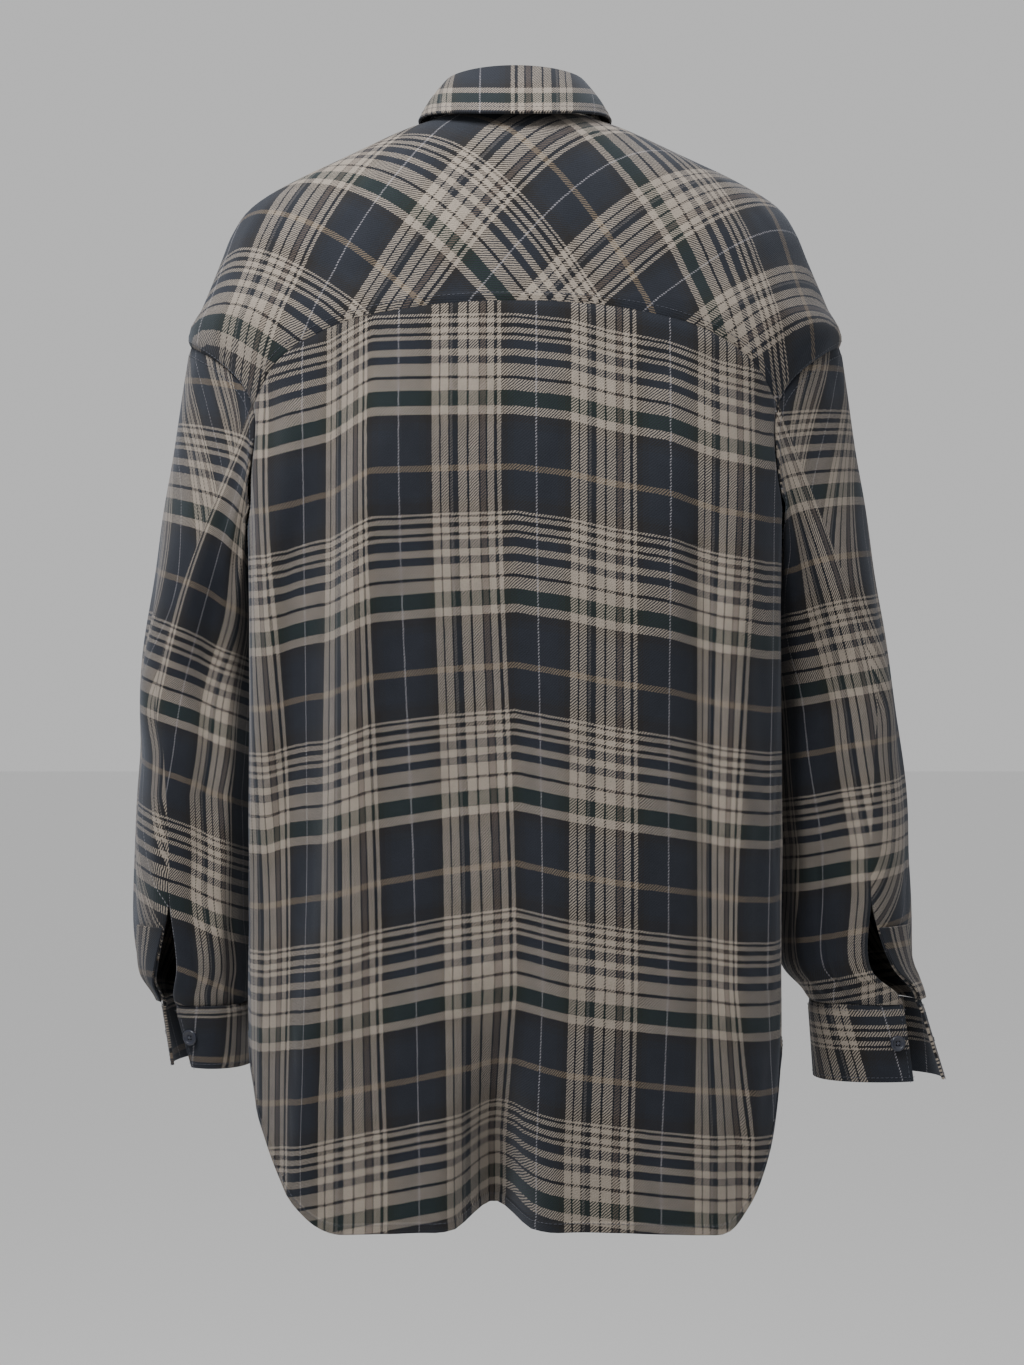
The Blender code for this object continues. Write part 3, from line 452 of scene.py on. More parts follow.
def cloth_shell(name, points, uv, outward=-1, wall=FLANNEL_WALL, lift=0.0, swell=0.0, joined=0, seams=()):
    """A closed cloth wall round a grid of points (rows, columns, 3), with soft edges.

    lift moves both faces out, swell thickens the wall outwards, and the first joined rows close into tubes.
    """
    rows, columns = points.shape[:2]
    normals = grid_normals(points, outward, joined)
    middle = points + normals * (np.zeros((rows, columns)) + lift - seam_dip(points, seams))[..., None]
    outer = middle + normals * (np.zeros((rows, columns)) + wall / 2.0 + swell)[..., None]
    inner = middle - normals * (wall / 2.0)
    own = np.arange(rows * columns).reshape(rows, columns)
    shared = own.copy()
    shared[:joined, -1] = own[:joined, 0]

    top = [(0, c) for c in range(columns)]
    low = [(rows - 1, c) for c in range(columns)]
    if joined:
        first = max(joined - 1, 0)
        left = [(r, 0) for r in range(first, rows)]
        right = [(r, columns - 1) for r in range(rows - 1, first, -1)]
        loops = [top[:-1]] if joined == rows else [top[:-1], left + low[1:] + right[1:]]
        if joined == rows:
            loops.append(low[:-1])
    else:
        left = [(r, 0) for r in range(rows - 2, 0, -1)]
        right = [(r, columns - 1) for r in range(1, rows)]
        loops = [top + right + low[::-1][1:] + left]

    vertices = [outer.reshape(-1, 3), inner.reshape(-1, 3)]
    count = rows * columns
    a, b, c, d = own[:-1, :-1], own[1:, :-1], own[1:, 1:], own[:-1, 1:]
    sa, sb, sc, sd = shared[:-1, :-1], shared[1:, :-1], shared[1:, 1:], shared[:-1, 1:]
    corners = np.stack([sa, sb, sc, sd], -1).reshape(-1, 4)
    places = np.stack([a, b, c, d], -1).reshape(-1, 4)
    faces = [corners, corners[:, ::-1] + count]
    face_uv = [places, places[:, ::-1]]
    extra = 2 * count
    for loop in loops:
        index = np.array([r * columns + c for r, c in loop])
        vertex = shared.reshape(-1)[index]
        inwards = []
        for r, c in loop:
            inside = np.zeros(3)
            if r in (0, rows - 1) and rows > 1:
                inside += middle[1 if r == 0 else rows - 2, c] - middle[r, c]
            if c in (0, columns - 1) and r >= joined:
                inside += middle[r, 1 if c == 0 else columns - 2] - middle[r, c]
            if not inside.any():
                inside = middle[r - 1, c] - middle[r, c]
            inwards.append(-inside / max(np.linalg.norm(inside), 1e-12))
        bulge = (vertices[0][index] + vertices[1][index]) / 2.0 + np.array(inwards) * wall * 0.28
        vertices.append(bulge)
        number = np.arange(len(loop)) + extra
        extra += len(loop)
        following = np.roll(np.arange(len(loop)), -1)
        for one, two in ((vertex, number), (number, vertex + count)):
            faces.append(np.stack([one, two, two[following], one[following]], -1))
            face_uv.append(np.stack([index, index, index[following], index[following]], -1))
    faces, face_uv = np.concatenate(faces), np.concatenate(face_uv)

    used, faces = np.unique(faces, return_inverse=True)
    faces = faces.reshape(-1, 4)
    mesh = bpy.data.meshes.new(name)
    mesh.from_pydata(np.concatenate(vertices)[used].tolist(), [], faces.tolist())
    layer = mesh.uv_layers.new(name="Cloth")
    layer.data.foreach_set("uv", uv.reshape(-1, 2)[face_uv].reshape(-1))
    work = bmesh.new()
    work.from_mesh(mesh)
    bmesh.ops.recalc_face_normals(work, faces=work.faces)
    work.to_mesh(mesh)
    work.free()
    mesh.shade_smooth()
    piece = bpy.data.objects.new(name, mesh)
    bpy.context.scene.collection.objects.link(piece)
    mesh.materials.append(flannel)
    return piece


def fix_cloth(piece, *nodes, **cut):
    """Attach a sewn piece to the frame's root and hide the frame's parts that it stands for."""
    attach(piece, "root")
    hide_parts(*nodes)
    return piece


def back_grid():
    """Places of the back: down the armholes from the yoke's corners, then down the side seams."""
    columns = shares(112)
    under = LEVEL["underarm"]
    upper = shares(46)[:, None]
    turn = mix(BACK_TURN, 180.0, upper)
    start, level = armhole(turn)
    share = (level - CORNER_LEVEL) / (under - CORNER_LEVEL)
    angle = mix(start, 180.0 - start, columns)
    tops = yoke_edge_level(mix(YOKE_CORNER_ANGLE, 180.0 - YOKE_CORNER_ANGLE, columns))
    levels = mix(tops, under, share)
    lower = shares(128, hem=HEM_DEPTH / 0.49)[1:, None]
    low_angle = mix(SIDE_SEAM_ANGLE, 180.0 - SIDE_SEAM_ANGLE, columns) + 0.0 * lower
    low_level = mix(under, hem_level(low_angle), lower)
    return np.concatenate([angle, low_angle]), np.concatenate([levels, low_level])


# Where the sett's marks hang across the back, in metres from the centre line towards the wearer's left:
# place in the sett, then at the shoulder blades, at the hips and at the tail.
WARP_MARKS = np.array((
    (-0.244, 0.2060, 0.1890, 0.1900),
    (-0.196, 0.1743, 0.1560, 0.1575),
    (-0.174, 0.1487, 0.1455, 0.1490),
    (-0.148, 0.1314, 0.1350, 0.1375),
    (-0.100, 0.1026, 0.0917, 0.0874),
    (-0.078, 0.0808, 0.0686, 0.0659),
    (-0.052, 0.0576, 0.0485, 0.0472),
    (-0.004, 0.0093, -0.0020, 0.0055),
    (0.018, -0.0146, -0.0191, -0.0153),
    (0.044, -0.0394, -0.0374, -0.0333),
    (0.092, -0.0847, -0.0853, -0.0825),
    (0.114, -0.1078, -0.1061, -0.1006),
    (0.140, -0.1276, -0.1269, -0.1248),
    (0.188, -0.1685, -0.1545, -0.1680),
    (0.210, -0.1860, -0.1780, -0.1850),
))
MARK_HEIGHTS = (-0.23, -0.62, -0.73)
BAND_START = -0.052  # place in the sett of the band's first stripe on the back
# How far the weft sags at the sides: distance to the wearer's left, then near the yoke and at the hips.
SAG = np.array((
    (-0.190, 0.039, 0.028),
    (-0.143, 0.031, 0.0235),
    (-0.106, 0.018, 0.0185),
    (-0.067, 0.0115, 0.0135),
    (-0.037, 0.004, 0.009),
    (0.000, 0.000, 0.000),
    (0.050, 0.000, 0.0076),
    (0.100, 0.001, 0.018),
    (0.130, 0.017, 0.025),
    (0.180, 0.028, 0.035),
))
SAG_HEIGHTS = (-0.21, -0.62)
GREEN_HEIGHT = -0.2045  # where the first green stripe starts at the centre back
BACK_TURNS_AWAY = 0.176  # beyond this the back faces sideways, and the sett runs on evenly


def back_cloth_uv(base):
    """The back's place in the sett, in metres of cloth."""
    x, z = base[..., 0], base[..., 2]
    steps = np.hypot(*np.moveaxis(np.diff(base[..., :2], axis=1), -1, 0))
    arc = np.concatenate([np.zeros((len(base), 1)), np.cumsum(steps, axis=1)], axis=1)
    facing = np.clip(x, -BACK_TURNS_AWAY, BACK_TURNS_AWAY)
    beyond = np.empty_like(x)
    for row in range(len(base)):
        arc_facing = np.interp(-facing[row], np.maximum.accumulate(-x[row]), arc[row])
        beyond[row] = arc[row] - arc_facing
    marks = WARP_MARKS[::-1]
    across = [np.interp(facing, marks[:, k], marks[:, 0]) for k in (1, 2, 3)]
    upper = np.clip((z - MARK_HEIGHTS[0]) / (MARK_HEIGHTS[1] - MARK_HEIGHTS[0]), 0.0, 1.0)
    lower = np.clip((z - MARK_HEIGHTS[1]) / (MARK_HEIGHTS[2] - MARK_HEIGHTS[1]), 0.0, 1.0)
    u = mix(mix(across[0], across[1], smooth_step(upper)), across[2], lower) + beyond - BAND_START
    sag = [np.interp(facing, SAG[:, 0], SAG[:, k]) for k in (1, 2)]
    down = np.clip((z - SAG_HEIGHTS[0]) / (SAG_HEIGHTS[1] - SAG_HEIGHTS[0]), 0.0, 1.0)
    v = GREEN_HEIGHT - z - mix(sag[0], sag[1], down)
    return np.stack([u, v], -1)


angle, level = back_grid()
back_points = torso(angle, level)
back_uv = back_cloth_uv(torso_base(angle, level))
hem_swell = HEM_RISE * smooth_step((HEM_DEPTH + 0.0006 - distance_from(back_points, 0, -1)) / 0.0012)
back = cloth_shell("flannel_back", back_points, back_uv, swell=hem_swell, seams=("top", "start", "finish"))
fix_cloth(back, "back", flat=(0.60, 0.66), held="hung", rests_on=["flannel_yoke"], area=0.34)

# ---------------------------------------------------------------------------------------------------
# The yoke. One piece of the same flannel cut on the bias, over the shoulders from the back seam to a seam
# in front of each shoulder line, topstitched to the back, the fronts and the sleeve tops.

YOKE_ROWS = 34
YOKE_SIDE_COLUMNS = 16
YOKE_BACK_COLUMNS = 92
# The sett on the bias, eased over the shoulders, as a smooth function of the distance x to the wearer's left
# and the distance s down the back: terms in 1, x, s, xx, xs, ss, xxx, xxs, xss and sss.
YOKE_WARP = (-0.0197, -0.5453, 0.3350, 0.1438, -0.7097, 0.3209, -1.8042, -0.7728, -0.6442, 0.3692)
YOKE_WEFT = (-0.1335, 0.5948, 0.4799, 0.0696, 0.7144, 0.1026, 1.8869, -1.8680, 0.8034, 0.1304)


def yoke_grid(rows, side_columns, back_columns):
    left = armhole(np.linspace(FRONT_TURN, BACK_TURN, side_columns + 1))[0]
    across = np.linspace(YOKE_CORNER_ANGLE, 180.0 - YOKE_CORNER_ANGLE, back_columns + 1)
    ends = np.concatenate([left[:-1], across, 180.0 - left[:-1][::-1]])
    level = rows[:, None] * yoke_edge_level(ends)
    start = -yoke_front_angle(level)
    place = (ends - YOKE_FRONT_ANGLE) / (180.0 - 2.0 * YOKE_FRONT_ANGLE)
    return mix(start, 180.0 - start, place), level


yoke_angle, yoke_level = yoke_grid(shares(YOKE_ROWS), YOKE_SIDE_COLUMNS, YOKE_BACK_COLUMNS)
yoke_points = torso(yoke_angle, yoke_level)
yoke_base = torso_base(yoke_angle, yoke_level)
x, s = yoke_base[..., 0], yoke_base[..., 1] - yoke_base[..., 2]
terms = np.stack([x**0, x, s, x * x, x * s, s * s, x**3, x * x * s, x * s * s, s**3], -1)
yoke_uv = np.stack([terms @ np.array(YOKE_WARP), terms @ np.array(YOKE_WEFT)], -1)
yoke = cloth_shell("flannel_yoke", yoke_points, yoke_uv, seams=("low", "start", "finish"))
fix_cloth(yoke, "yoke", flat=(0.56, 0.25), held="draped", area=0.104)

# ---------------------------------------------------------------------------------------------------
# The two fronts. Single flannel on the straight grain, from the yoke's front seams to the hem, each sewn
# to a band at the centre front. The right front lies a layer higher there, because it buttons over.

BAND_WIDTH = 0.030
BAND_TOP_LEVEL = 0.3
LAYER_LIFT = 0.0026
FRONT_EASE = 0.03  # beside the band, the width over which the right front rises
FRONT_GREEN_HEIGHT = -0.2345  # where the green stripe starts, level with the back's at the side seam
FRONT_LEFT_WARP = 0.070
FRONT_RIGHT_WARP = 0.022


def front_edge_angle(level, offset):
    """The angle at this distance from the centre front line, on the wearer's left."""
    half_width = sections_at(TORSO, level)[3]
    return -90.0 + np.degrees(np.arcsin(offset / half_width))


def front_grid(offsets=None):
    """The left front's places, or with offsets those of a band down its edge."""
    under = float(LEVEL["underarm"])
    corner_level = float(armhole(FRONT_TURN)[1])
    level = np.linspace(0.0, corner_level, 25)
    starts = [(-yoke_front_angle(level), level), armhole(np.linspace(FRONT_TURN, -180.0, 41)[1:])]
    start, level = (np.concatenate([group[k] for group in starts])[:, None] for k in (0, 1))
    low = shares(110, hem=HEM_DEPTH / 0.46)[1:, None]
    hem = mix(under, hem_level(np.array(-90.0)), low)
    if offsets is not None:
        level = np.maximum(np.concatenate([level, hem]), BAND_TOP_LEVEL)
        level = level + np.zeros(len(offsets))
        return front_edge_angle(level, np.asarray(offsets)), level
    columns = shares(48)
    angle = mix(start, front_edge_angle(level, BAND_WIDTH / 2.0), columns)
    low_angle = mix(SIDE_SEAM_ANGLE, front_edge_angle(hem, BAND_WIDTH / 2.0), columns)
    low_level = mix(under, hem_level(low_angle), low)
    return np.concatenate([angle, low_angle]), np.concatenate([level + 0.0 * columns, low_level])


def front_cloth_uv(base, start, way):
    """Straight grain, measured from the band's edge."""
    away = distance_from(base, 1, -1)
    return np.stack([start + way * away, FRONT_GREEN_HEIGHT - base[..., 2]], -1)


FRONT_POINTS = {}
angle, level = front_grid()
for word, turned, outward, start in (
    ("left", angle, 1, FRONT_LEFT_WARP),
    ("right", 180.0 - angle, -1, FRONT_RIGHT_WARP),
):
    points = torso(turned, level)
    FRONT_POINTS[word] = (points, outward)
    near_band = 1.0 - (np.abs(points[..., 0]) - BAND_WIDTH / 2.0) / FRONT_EASE
    rise = LAYER_LIFT * smooth_step(near_band) * (word == "right")
    swell = HEM_RISE * smooth_step((HEM_DEPTH + 0.0006 - distance_from(points, 0, -1)) / 0.0012)
    uv = front_cloth_uv(torso_base(turned, level), start, outward)
    front = cloth_shell(
        f"flannel_front_{word}", points, uv, outward, lift=rise, swell=swell, seams=("start", "finish")
    )
    fix_cloth(front, f"front_{word}", flat=(0.29, 0.72), held="hung", rests_on=["flannel_yoke"], area=0.16)

# ---------------------------------------------------------------------------------------------------
# The button band and the buttonhole band. Two folded, interfaced strips down the centre front, on the
# straight grain. The buttonhole band on the wearer's right lies over the button band.

DOUBLE_WALL = 0.0021
BAND_WARP = {"button_band": 0.010, "buttonhole_band": 0.018}

BAND_POINTS = {}
band_angle, band_level = front_grid(BAND_WIDTH * (0.5 - shares(10)))
for word, rise in (("button_band", 0.0), ("buttonhole_band", LAYER_LIFT)):
    points = torso(band_angle, band_level)
    keep = np.append(True, np.diff(band_level[:, 0]) > 1e-6)
    points = points[keep]
    BAND_POINTS[word] = (points, rise)
    away = distance_from(points, 1, -1)
    uv = np.stack([BAND_WARP[word] + away, FRONT_GREEN_HEIGHT - points[..., 2]], -1)
    band = cloth_shell(f"flannel_{word}", points, uv, 1, wall=DOUBLE_WALL, lift=rise)
    fix_cloth(band, word, flat=(BAND_WIDTH, 0.73), held="folded", rests_on=["flannel_front_left"])

# ---------------------------------------------------------------------------------------------------
# The collar. A stand round the neckline and a turned-down leaf sewn to its top. Both are two layers of
# flannel round an interfacing. The leaf's plaid runs the other way up, as it does once a collar is turned.

STAND_SECTIONS = np.array((
    (0.0050, 0.0060, -0.0672, 0.0630, 0.0600, -0.002, -0.0640, 2.0, 2.0),
    (0.0190, 0.0185, -0.0545, 0.0560, 0.0530, -0.002, -0.0620, 2.0, 2.0),
    (0.0325, 0.0310, -0.0410, 0.0490, 0.0460, -0.002, -0.0600, 2.0, 2.0),
))
LEAF_SECTIONS = np.array((
    (0.0331, 0.0316, -0.0404, 0.0487, 0.0457, -0.002, -0.0599, 2.0, 2.0),
    (0.0354, 0.0339, -0.0380, 0.0479, 0.0449, -0.002, -0.0597, 2.0, 2.0),
    (0.0370, 0.0355, -0.0362, 0.0497, 0.0469, -0.002, -0.0620, 2.0, 2.0),
    (0.0348, 0.0335, -0.0384, 0.0524, 0.0499, -0.002, -0.0650, 2.0, 2.0),
    (0.0170, 0.0200, -0.0760, 0.0630, 0.0680, -0.002, -0.0860, 2.0, 2.0),
    (-0.0040, 0.0066, -0.1120, 0.0705, 0.0850, -0.002, -0.1060, 2.0, 2.0),
))
STAND_OVERLAP = 0.015
RIGHT_END_RISE = (228.0, 258.0)  # angles between which the right end rises over the left
LEAF_GAP_TOP = 2.0
LEAF_GAP_EDGE = 24.0
LEAF_WARP_START = 0.0445  # from the centre back to the start of the leaf's wide band
LEAF_GREEN_UP = 0.010  # from the leaf's edge up to the start of its green stripe


def collar(table, angle, level):
    points = section_points(table, angle, level)[0]
    outward = points * (1.0, 1.0, 0.0)
    outward /= np.linalg.norm(outward, axis=-1, keepdims=True)
    past = (angle - RIGHT_END_RISE[0]) / (RIGHT_END_RISE[1] - RIGHT_END_RISE[0])
    return points + outward * (LAYER_LIFT * smooth_step(past) * np.ones_like(level))[..., None]


end = np.degrees(STAND_OVERLAP / 0.0640)
stand_points = collar(
    STAND_SECTIONS, *np.meshgrid(mix(-90.0 - end, 270.0 + end, shares(140)), 2.0 * shares(10))
)
around = distance_from(stand_points, 1, 0)
stand_uv = np.stack([around, 0.020 - distance_from(stand_points, 0, 0)], -1)
stand = cloth_shell("flannel_collar_stand", stand_points, stand_uv, 1, wall=DOUBLE_WALL)
fix_cloth(stand, "collar_stand", flat=(0.41, 0.033), held="folded", rests_on=["flannel_yoke"])

leaf_level = (len(LEAF_SECTIONS) - 1.0) * np.unique(np.concatenate([np.linspace(0.0, 0.6, 16), shares(24)]))
gap = mix(LEAF_GAP_TOP, LEAF_GAP_EDGE, smooth_step(leaf_level / (len(LEAF_SECTIONS) - 1.0)))[:, None]
leaf_angle = mix(-90.0 + gap, 270.0 - gap, shares(150))
leaf_points = collar(LEAF_SECTIONS, leaf_angle, leaf_level[:, None] + 0.0 * leaf_angle)
around = distance_from(leaf_points, 1, 0)
behind = np.array([np.interp(90.0, row, arc) for row, arc in zip(leaf_angle, around)])[:, None]
leaf_up = distance_from(leaf_points, 0, -1)
leaf_uv = np.stack([LEAF_WARP_START - (around - behind), leaf_up - LEAF_GREEN_UP], -1)
leaf = cloth_shell("flannel_collar_leaf", leaf_points, leaf_uv, -1, wall=DOUBLE_WALL)
fix_cloth(leaf, "collar_leaf", flat=(0.47, 0.056), held="folded", rests_on=["flannel_collar_stand"])

# ---------------------------------------------------------------------------------------------------
# The sleeves. Single flannel tubes with dropped shoulders, sewn round the armholes, open at a slit above
# each cuff. The cloth hangs in lengthwise folds and is pleated into the cuff.

SLEEVE_RINGS = {
    "left": np.array((
        (-0.385, 0.2775, 0.229, 0.1880, 0.045, -0.120, 60.0),
        (-0.465, 0.2800, 0.231, 0.1885, 0.048, -0.114, 66.0),
        (-0.545, 0.2830, 0.234, 0.1910, 0.050, -0.100, 73.0),
        (-0.610, 0.2770, 0.233, 0.1940, 0.048, -0.082, 66.0),
        (-0.640, 0.2600, 0.227, 0.1950, 0.043, -0.052, 42.0),
        (-0.685, 0.2450, 0.219, 0.1930, 0.042, -0.054, 39.0),
    )),
    "right": np.array((
        (-0.385, 0.2780, 0.229, 0.1880, 0.045, -0.120, 60.0),
        (-0.465, 0.2895, 0.235, 0.1885, 0.048, -0.114, 66.0),
        (-0.545, 0.2930, 0.239, 0.1910, 0.050, -0.100, 73.0),
        (-0.610, 0.2920, 0.244, 0.1960, 0.046, -0.078, 66.0),
        (-0.640, 0.2990, 0.259, 0.2170, 0.036, -0.038, 42.0),
        (-0.696, 0.3080, 0.265, 0.2210, 0.034, -0.036, 39.0),
    )),
}
CUFF_SEAM_RING = 5  # ring 0 is the armhole itself
SLEEVE_SQUARENESS = 2.2
ARMHOLE_MIDDLE = 0.215
ARMHOLE_CLEAR = 0.00312
ARMHOLE_CLEAR_SLANT = 0.25
SLIT_LENGTH = 0.085
SLIT_WIDTH = 0.020
# Lengthwise folds: turn and height at the top and low end, half width in degrees, depth.
SLEEVE_FOLDS = {
    "left": (
        (100.0, -0.260, 100.0, -0.640, 18.0, -0.007),
        (50.0, -0.240, 50.0, -0.620, 16.0, 0.003),
        (250.0, -0.280, 250.0, -0.640, 20.0, -0.007),
        (76.0, -0.190, 62.0, -0.600, 8.0, 0.0030),
        (128.0, -0.240, 118.0, -0.640, 8.0, 0.0036),
        (28.0, -0.300, 20.0, -0.600, 8.0, -0.0026),
        (88.0, -0.520, 96.0, -0.655, 6.0, -0.0030),
        (118.0, -0.560, 124.0, -0.655, 5.0, 0.0030),
        (200.0, -0.300, 210.0, -0.650, 12.0, 0.0036),
        (300.0, -0.230, 292.0, -0.640, 11.0, 0.0040),
        (330.0, -0.280, 322.0, -0.620, 9.0, -0.0030),
    ),
    "right": (
        (100.0, -0.260, 100.0, -0.640, 18.0, -0.007),
        (50.0, -0.240, 50.0, -0.620, 16.0, 0.003),
        (250.0, -0.280, 250.0, -0.640, 20.0, -0.007),
        (80.0, -0.200, 70.0, -0.600, 9.0, 0.0032),
        (132.0, -0.230, 122.0, -0.650, 8.0, 0.0034),
        (116.0, -0.500, 112.0, -0.655, 5.0, -0.0036),
        (136.0, -0.520, 130.0, -0.655, 5.0, 0.0036),
        (26.0, -0.320, 30.0, -0.610, 8.0, -0.0024),
        (205.0, -0.280, 214.0, -0.640, 12.0, 0.0036),
        (296.0, -0.240, 290.0, -0.640, 11.0, 0.0040),
        (334.0, -0.290, 326.0, -0.620, 9.0, -0.0030),
    ),
}
# A marked stripe of the warp down the back of each sleeve: height, distance from the centre line.
LEAD_STRIPE = {
    "left": (0.0706, 1.5, (
        (-0.120, 0.2080), (-0.194, 0.2140), (-0.242, 0.2190), (-0.306, 0.2248), (-0.364, 0.2314),
        (-0.417, 0.2371), (-0.465, 0.2465), (-0.5045, 0.2502), (-0.542, 0.2581), (-0.640, 0.2620),
    )),
    "right": (0.0163, 1.2, (
        (-0.120, 0.2000), (-0.204, 0.2079), (-0.258, 0.2118), (-0.385, 0.2328), (-0.4965, 0.2505),
        (-0.576, 0.2610), (-0.640, 0.2650),
    )),
}
SLEEVE_GREEN = {"left": (-0.290, 0.020, 1.0), "right": (-0.2695, 0.0095, 1.03)}  # height, tilt, stretch


class Sleeve:
    """One sleeve's surface. Its turn is 0 outside, 90 behind, 180 beside the body and 270 in front."""

    def __init__(self, word):
        self.rings = SLEEVE_RINGS[word]
        self.folds = SLEEVE_FOLDS[word]
        self.side = 1.0 if word == "left" else -1.0

    def ring_point(self, ring, turn):
        z, x_out, x_mid, x_in, y_back, y_front, _ = ring
        cosine, sine = np.cos(np.radians(turn)), np.sin(np.radians(turn))
        total = np.abs(cosine) ** SLEEVE_SQUARENESS + np.abs(sine) ** SLEEVE_SQUARENESS
        radius = total ** (-1.0 / SLEEVE_SQUARENESS)
        half_x = np.where(cosine > 0.0, x_out - x_mid, x_mid - x_in)
        x = x_mid + half_x * radius * cosine
        y = (y_back + y_front) / 2.0 + (y_back - y_front) / 2.0 * radius * sine
        return np.stack([x, y, z + 0.0 * x], -1)

    def armhole_point(self, turn):
        angle, level = armhole(turn)
        point = torso(angle if self.side > 0 else 180.0 - angle, level) * (self.side, 1.0, 1.0)
        radians = np.radians(turn)
        clear = ARMHOLE_CLEAR * (1.0 - np.cos(radians)) / 2.0
        point[..., 0] += clear
        point[..., 1] += clear * ARMHOLE_CLEAR_SLANT * np.sin(radians)
        return point

    def point(self, turn, place):
        armhole_points = self.armhole_point(turn)
        rings = np.stack([armhole_points, *(self.ring_point(ring, turn) for ring in self.rings)])
        points = curve_through(rings, place)
        middles = np.zeros((len(self.rings) + 1, *turn.shape, 3))
        middles[0, ..., 0] = ARMHOLE_MIDDLE
        middles[0, ..., 2] = armhole_points[..., 2]
        for number, ring in enumerate(self.rings):
            middles[number + 1] = (ring[2], (ring[4] + ring[5]) / 2.0, ring[0])
        outward = (points - curve_through(middles, place)) * (1.0, 1.0, 0.0)
        outward /= np.linalg.norm(outward, axis=-1, keepdims=True)
        depth = np.zeros(turn.shape)
        z = points[..., 2]
        for top_turn, z_top, low_turn, z_low, half_angle, height in self.folds:
            along = (z - z_top) / (z_low - z_top)
            middle = mix(top_turn, low_turn, np.clip(along, 0.0, 1.0))
            across = ((turn - middle + 180.0) % 360.0 - 180.0) / half_angle
            strength = smooth_step(along * 4.0) * smooth_step((1.0 - along) * 4.0)
            depth += height * strength * np.exp(-across * across)
        around = np.radians(turn)
        calm = smooth_step(place * 2.0)
        for cycles, slant, phase, height in SLEEVE_RIPPLES:
            depth += height * calm * np.sin(cycles * around + slant * z + phase)
        return (points + outward * depth[..., None]) * (self.side, 1.0, 1.0)

    def cuff_point(self, turn, share):
        seam = self.ring_point(self.rings[CUFF_SEAM_RING - 1], turn)
        ring = self.rings[CUFF_SEAM_RING]
        edge = self.ring_point(ring, turn)
        point = mix(seam, edge, share[..., None])
        outward = (edge - (ring[2], (ring[4] + ring[5]) / 2.0, 0.0)) * (1.0, 1.0, 0.0)
        outward /= np.linalg.norm(outward, axis=-1, keepdims=True)
        past = (turn - ring[6] - 360.0 + CUFF_FLARE_TURN) / CUFF_FLARE_TURN
        point = point + outward * (CUFF_FLARE * smooth_step(past) * share)[..., None]
        return point * (self.side, 1.0, 1.0)

    def girth_radius(self, ring):
        return (ring[1] - ring[3] + ring[4] - ring[5]) / 4.0

    def slit_turn(self, place):
        turns = np.concatenate([[BACK_TURN], self.rings[:, 6]])
        place = np.asarray(place, float)
        return curve_through(turns.reshape(-1, *([1] * place.ndim), 1), place)[..., 0]

    def slit_half_turn(self, place):
        place = np.asarray(place, float)
        ring = self.rings[CUFF_SEAM_RING - 1]
        height = self.point(np.full(place.shape, BACK_TURN), place)[..., 2]
        share = smooth_step((height - ring[0]) / SLIT_LENGTH)
        return np.degrees(SLIT_WIDTH / 2.0 / self.girth_radius(ring)) * (1.0 - share)


SLEEVE_RIPPLES = (
    (5.0, 9.0, 0.4, 0.0007), (8.0, -17.0, 1.9, 0.0005), (11.0, 25.0, 2.7, 0.0004), (3.0, 60.0, 5.1, 0.0006),
)
CUFF_FLARE = 0.010
CUFF_FLARE_TURN = 80.0
SLEEVES = {word: Sleeve(word) for word in ("left", "right")}
SLEEVE_POINTS = {}

for word, sleeve in SLEEVES.items():
    place = np.unique(np.concatenate([np.linspace(0.0, 1.0, 34), np.linspace(1.0, 5.0, 92)]))
    half = sleeve.slit_half_turn(place)
    joined = int(np.argmax(half > 0.0))
    start = sleeve.slit_turn(place) + half
    turn = start[:, None] + 360.0 * np.linspace(0.0, 1.0, 121) * (1.0 - half / 180.0)[:, None]
    points = sleeve.point(turn, place[:, None] + 0.0 * turn)
    SLEEVE_POINTS[word] = (points, joined)
    around = distance_from(points, 1, 0)
    lead_u, lead_rate, lead_line = LEAD_STRIPE[word]
    lead_line = np.array(lead_line)[::-1]
    uv = np.zeros((*turn.shape, 2))
    green, tilt, stretch = SLEEVE_GREEN[word]
    lead_turns = [90.0]
    for z, x_out, x_mid, x_in, *_ in sleeve.rings:
        away = np.interp(z, lead_line[:, 0], lead_line[:, 1]) - x_mid
        half_x = x_out - x_mid if away > 0.0 else x_mid - x_in
        lead_turns.append(float(np.degrees(np.arccos(np.clip(away / half_x, -0.9, 0.9)))))
    lead_turn = curve_through(np.array(lead_turns)[:, None, None], place)[..., 0]
    for row in range(len(points)):
        lead_arc = np.interp(lead_turn[row], turn[row], around[row])
        uv[row, :, 0] = lead_u + sleeve.side * lead_rate * (around[row] - lead_arc)
    uv[..., 1] = (green + tilt * np.cos(np.radians(turn)) - points[..., 2]) * stretch
    piece = cloth_shell(
        f"flannel_sleeve_{word}", points, uv, -sleeve.side, joined=joined, seams=("top", "low")
    )
    fix_cloth(
        piece, f"sleeve_{word}", flat=(0.46, 0.47), held="hung",
        rests_on=["flannel_back", "flannel_yoke", f"flannel_front_{word}"], area=0.19,
    )

# ---------------------------------------------------------------------------------------------------
# The sleeve plackets and cuffs. A narrow strip binds the slit of each sleeve. The cuffs are folded and
# interfaced, cut with their plaid the other way up, and hang unbuttoned, the buttonhole end standing out.

PLACKET_WIDTH = 0.022
PLACKET_LENGTH = 0.095
PLACKET_WARP = {"left": 0.026, "right": 0.021}
CUFF_LEAD = {"left": (0.0706, 0.2300, 0.2330), "right": (0.0, 0.2400, 0.2555)}
CUFF_WEFT_AT_SEAM = {"left": 0.091, "right": 0.115}
CUFF_GRID = {}

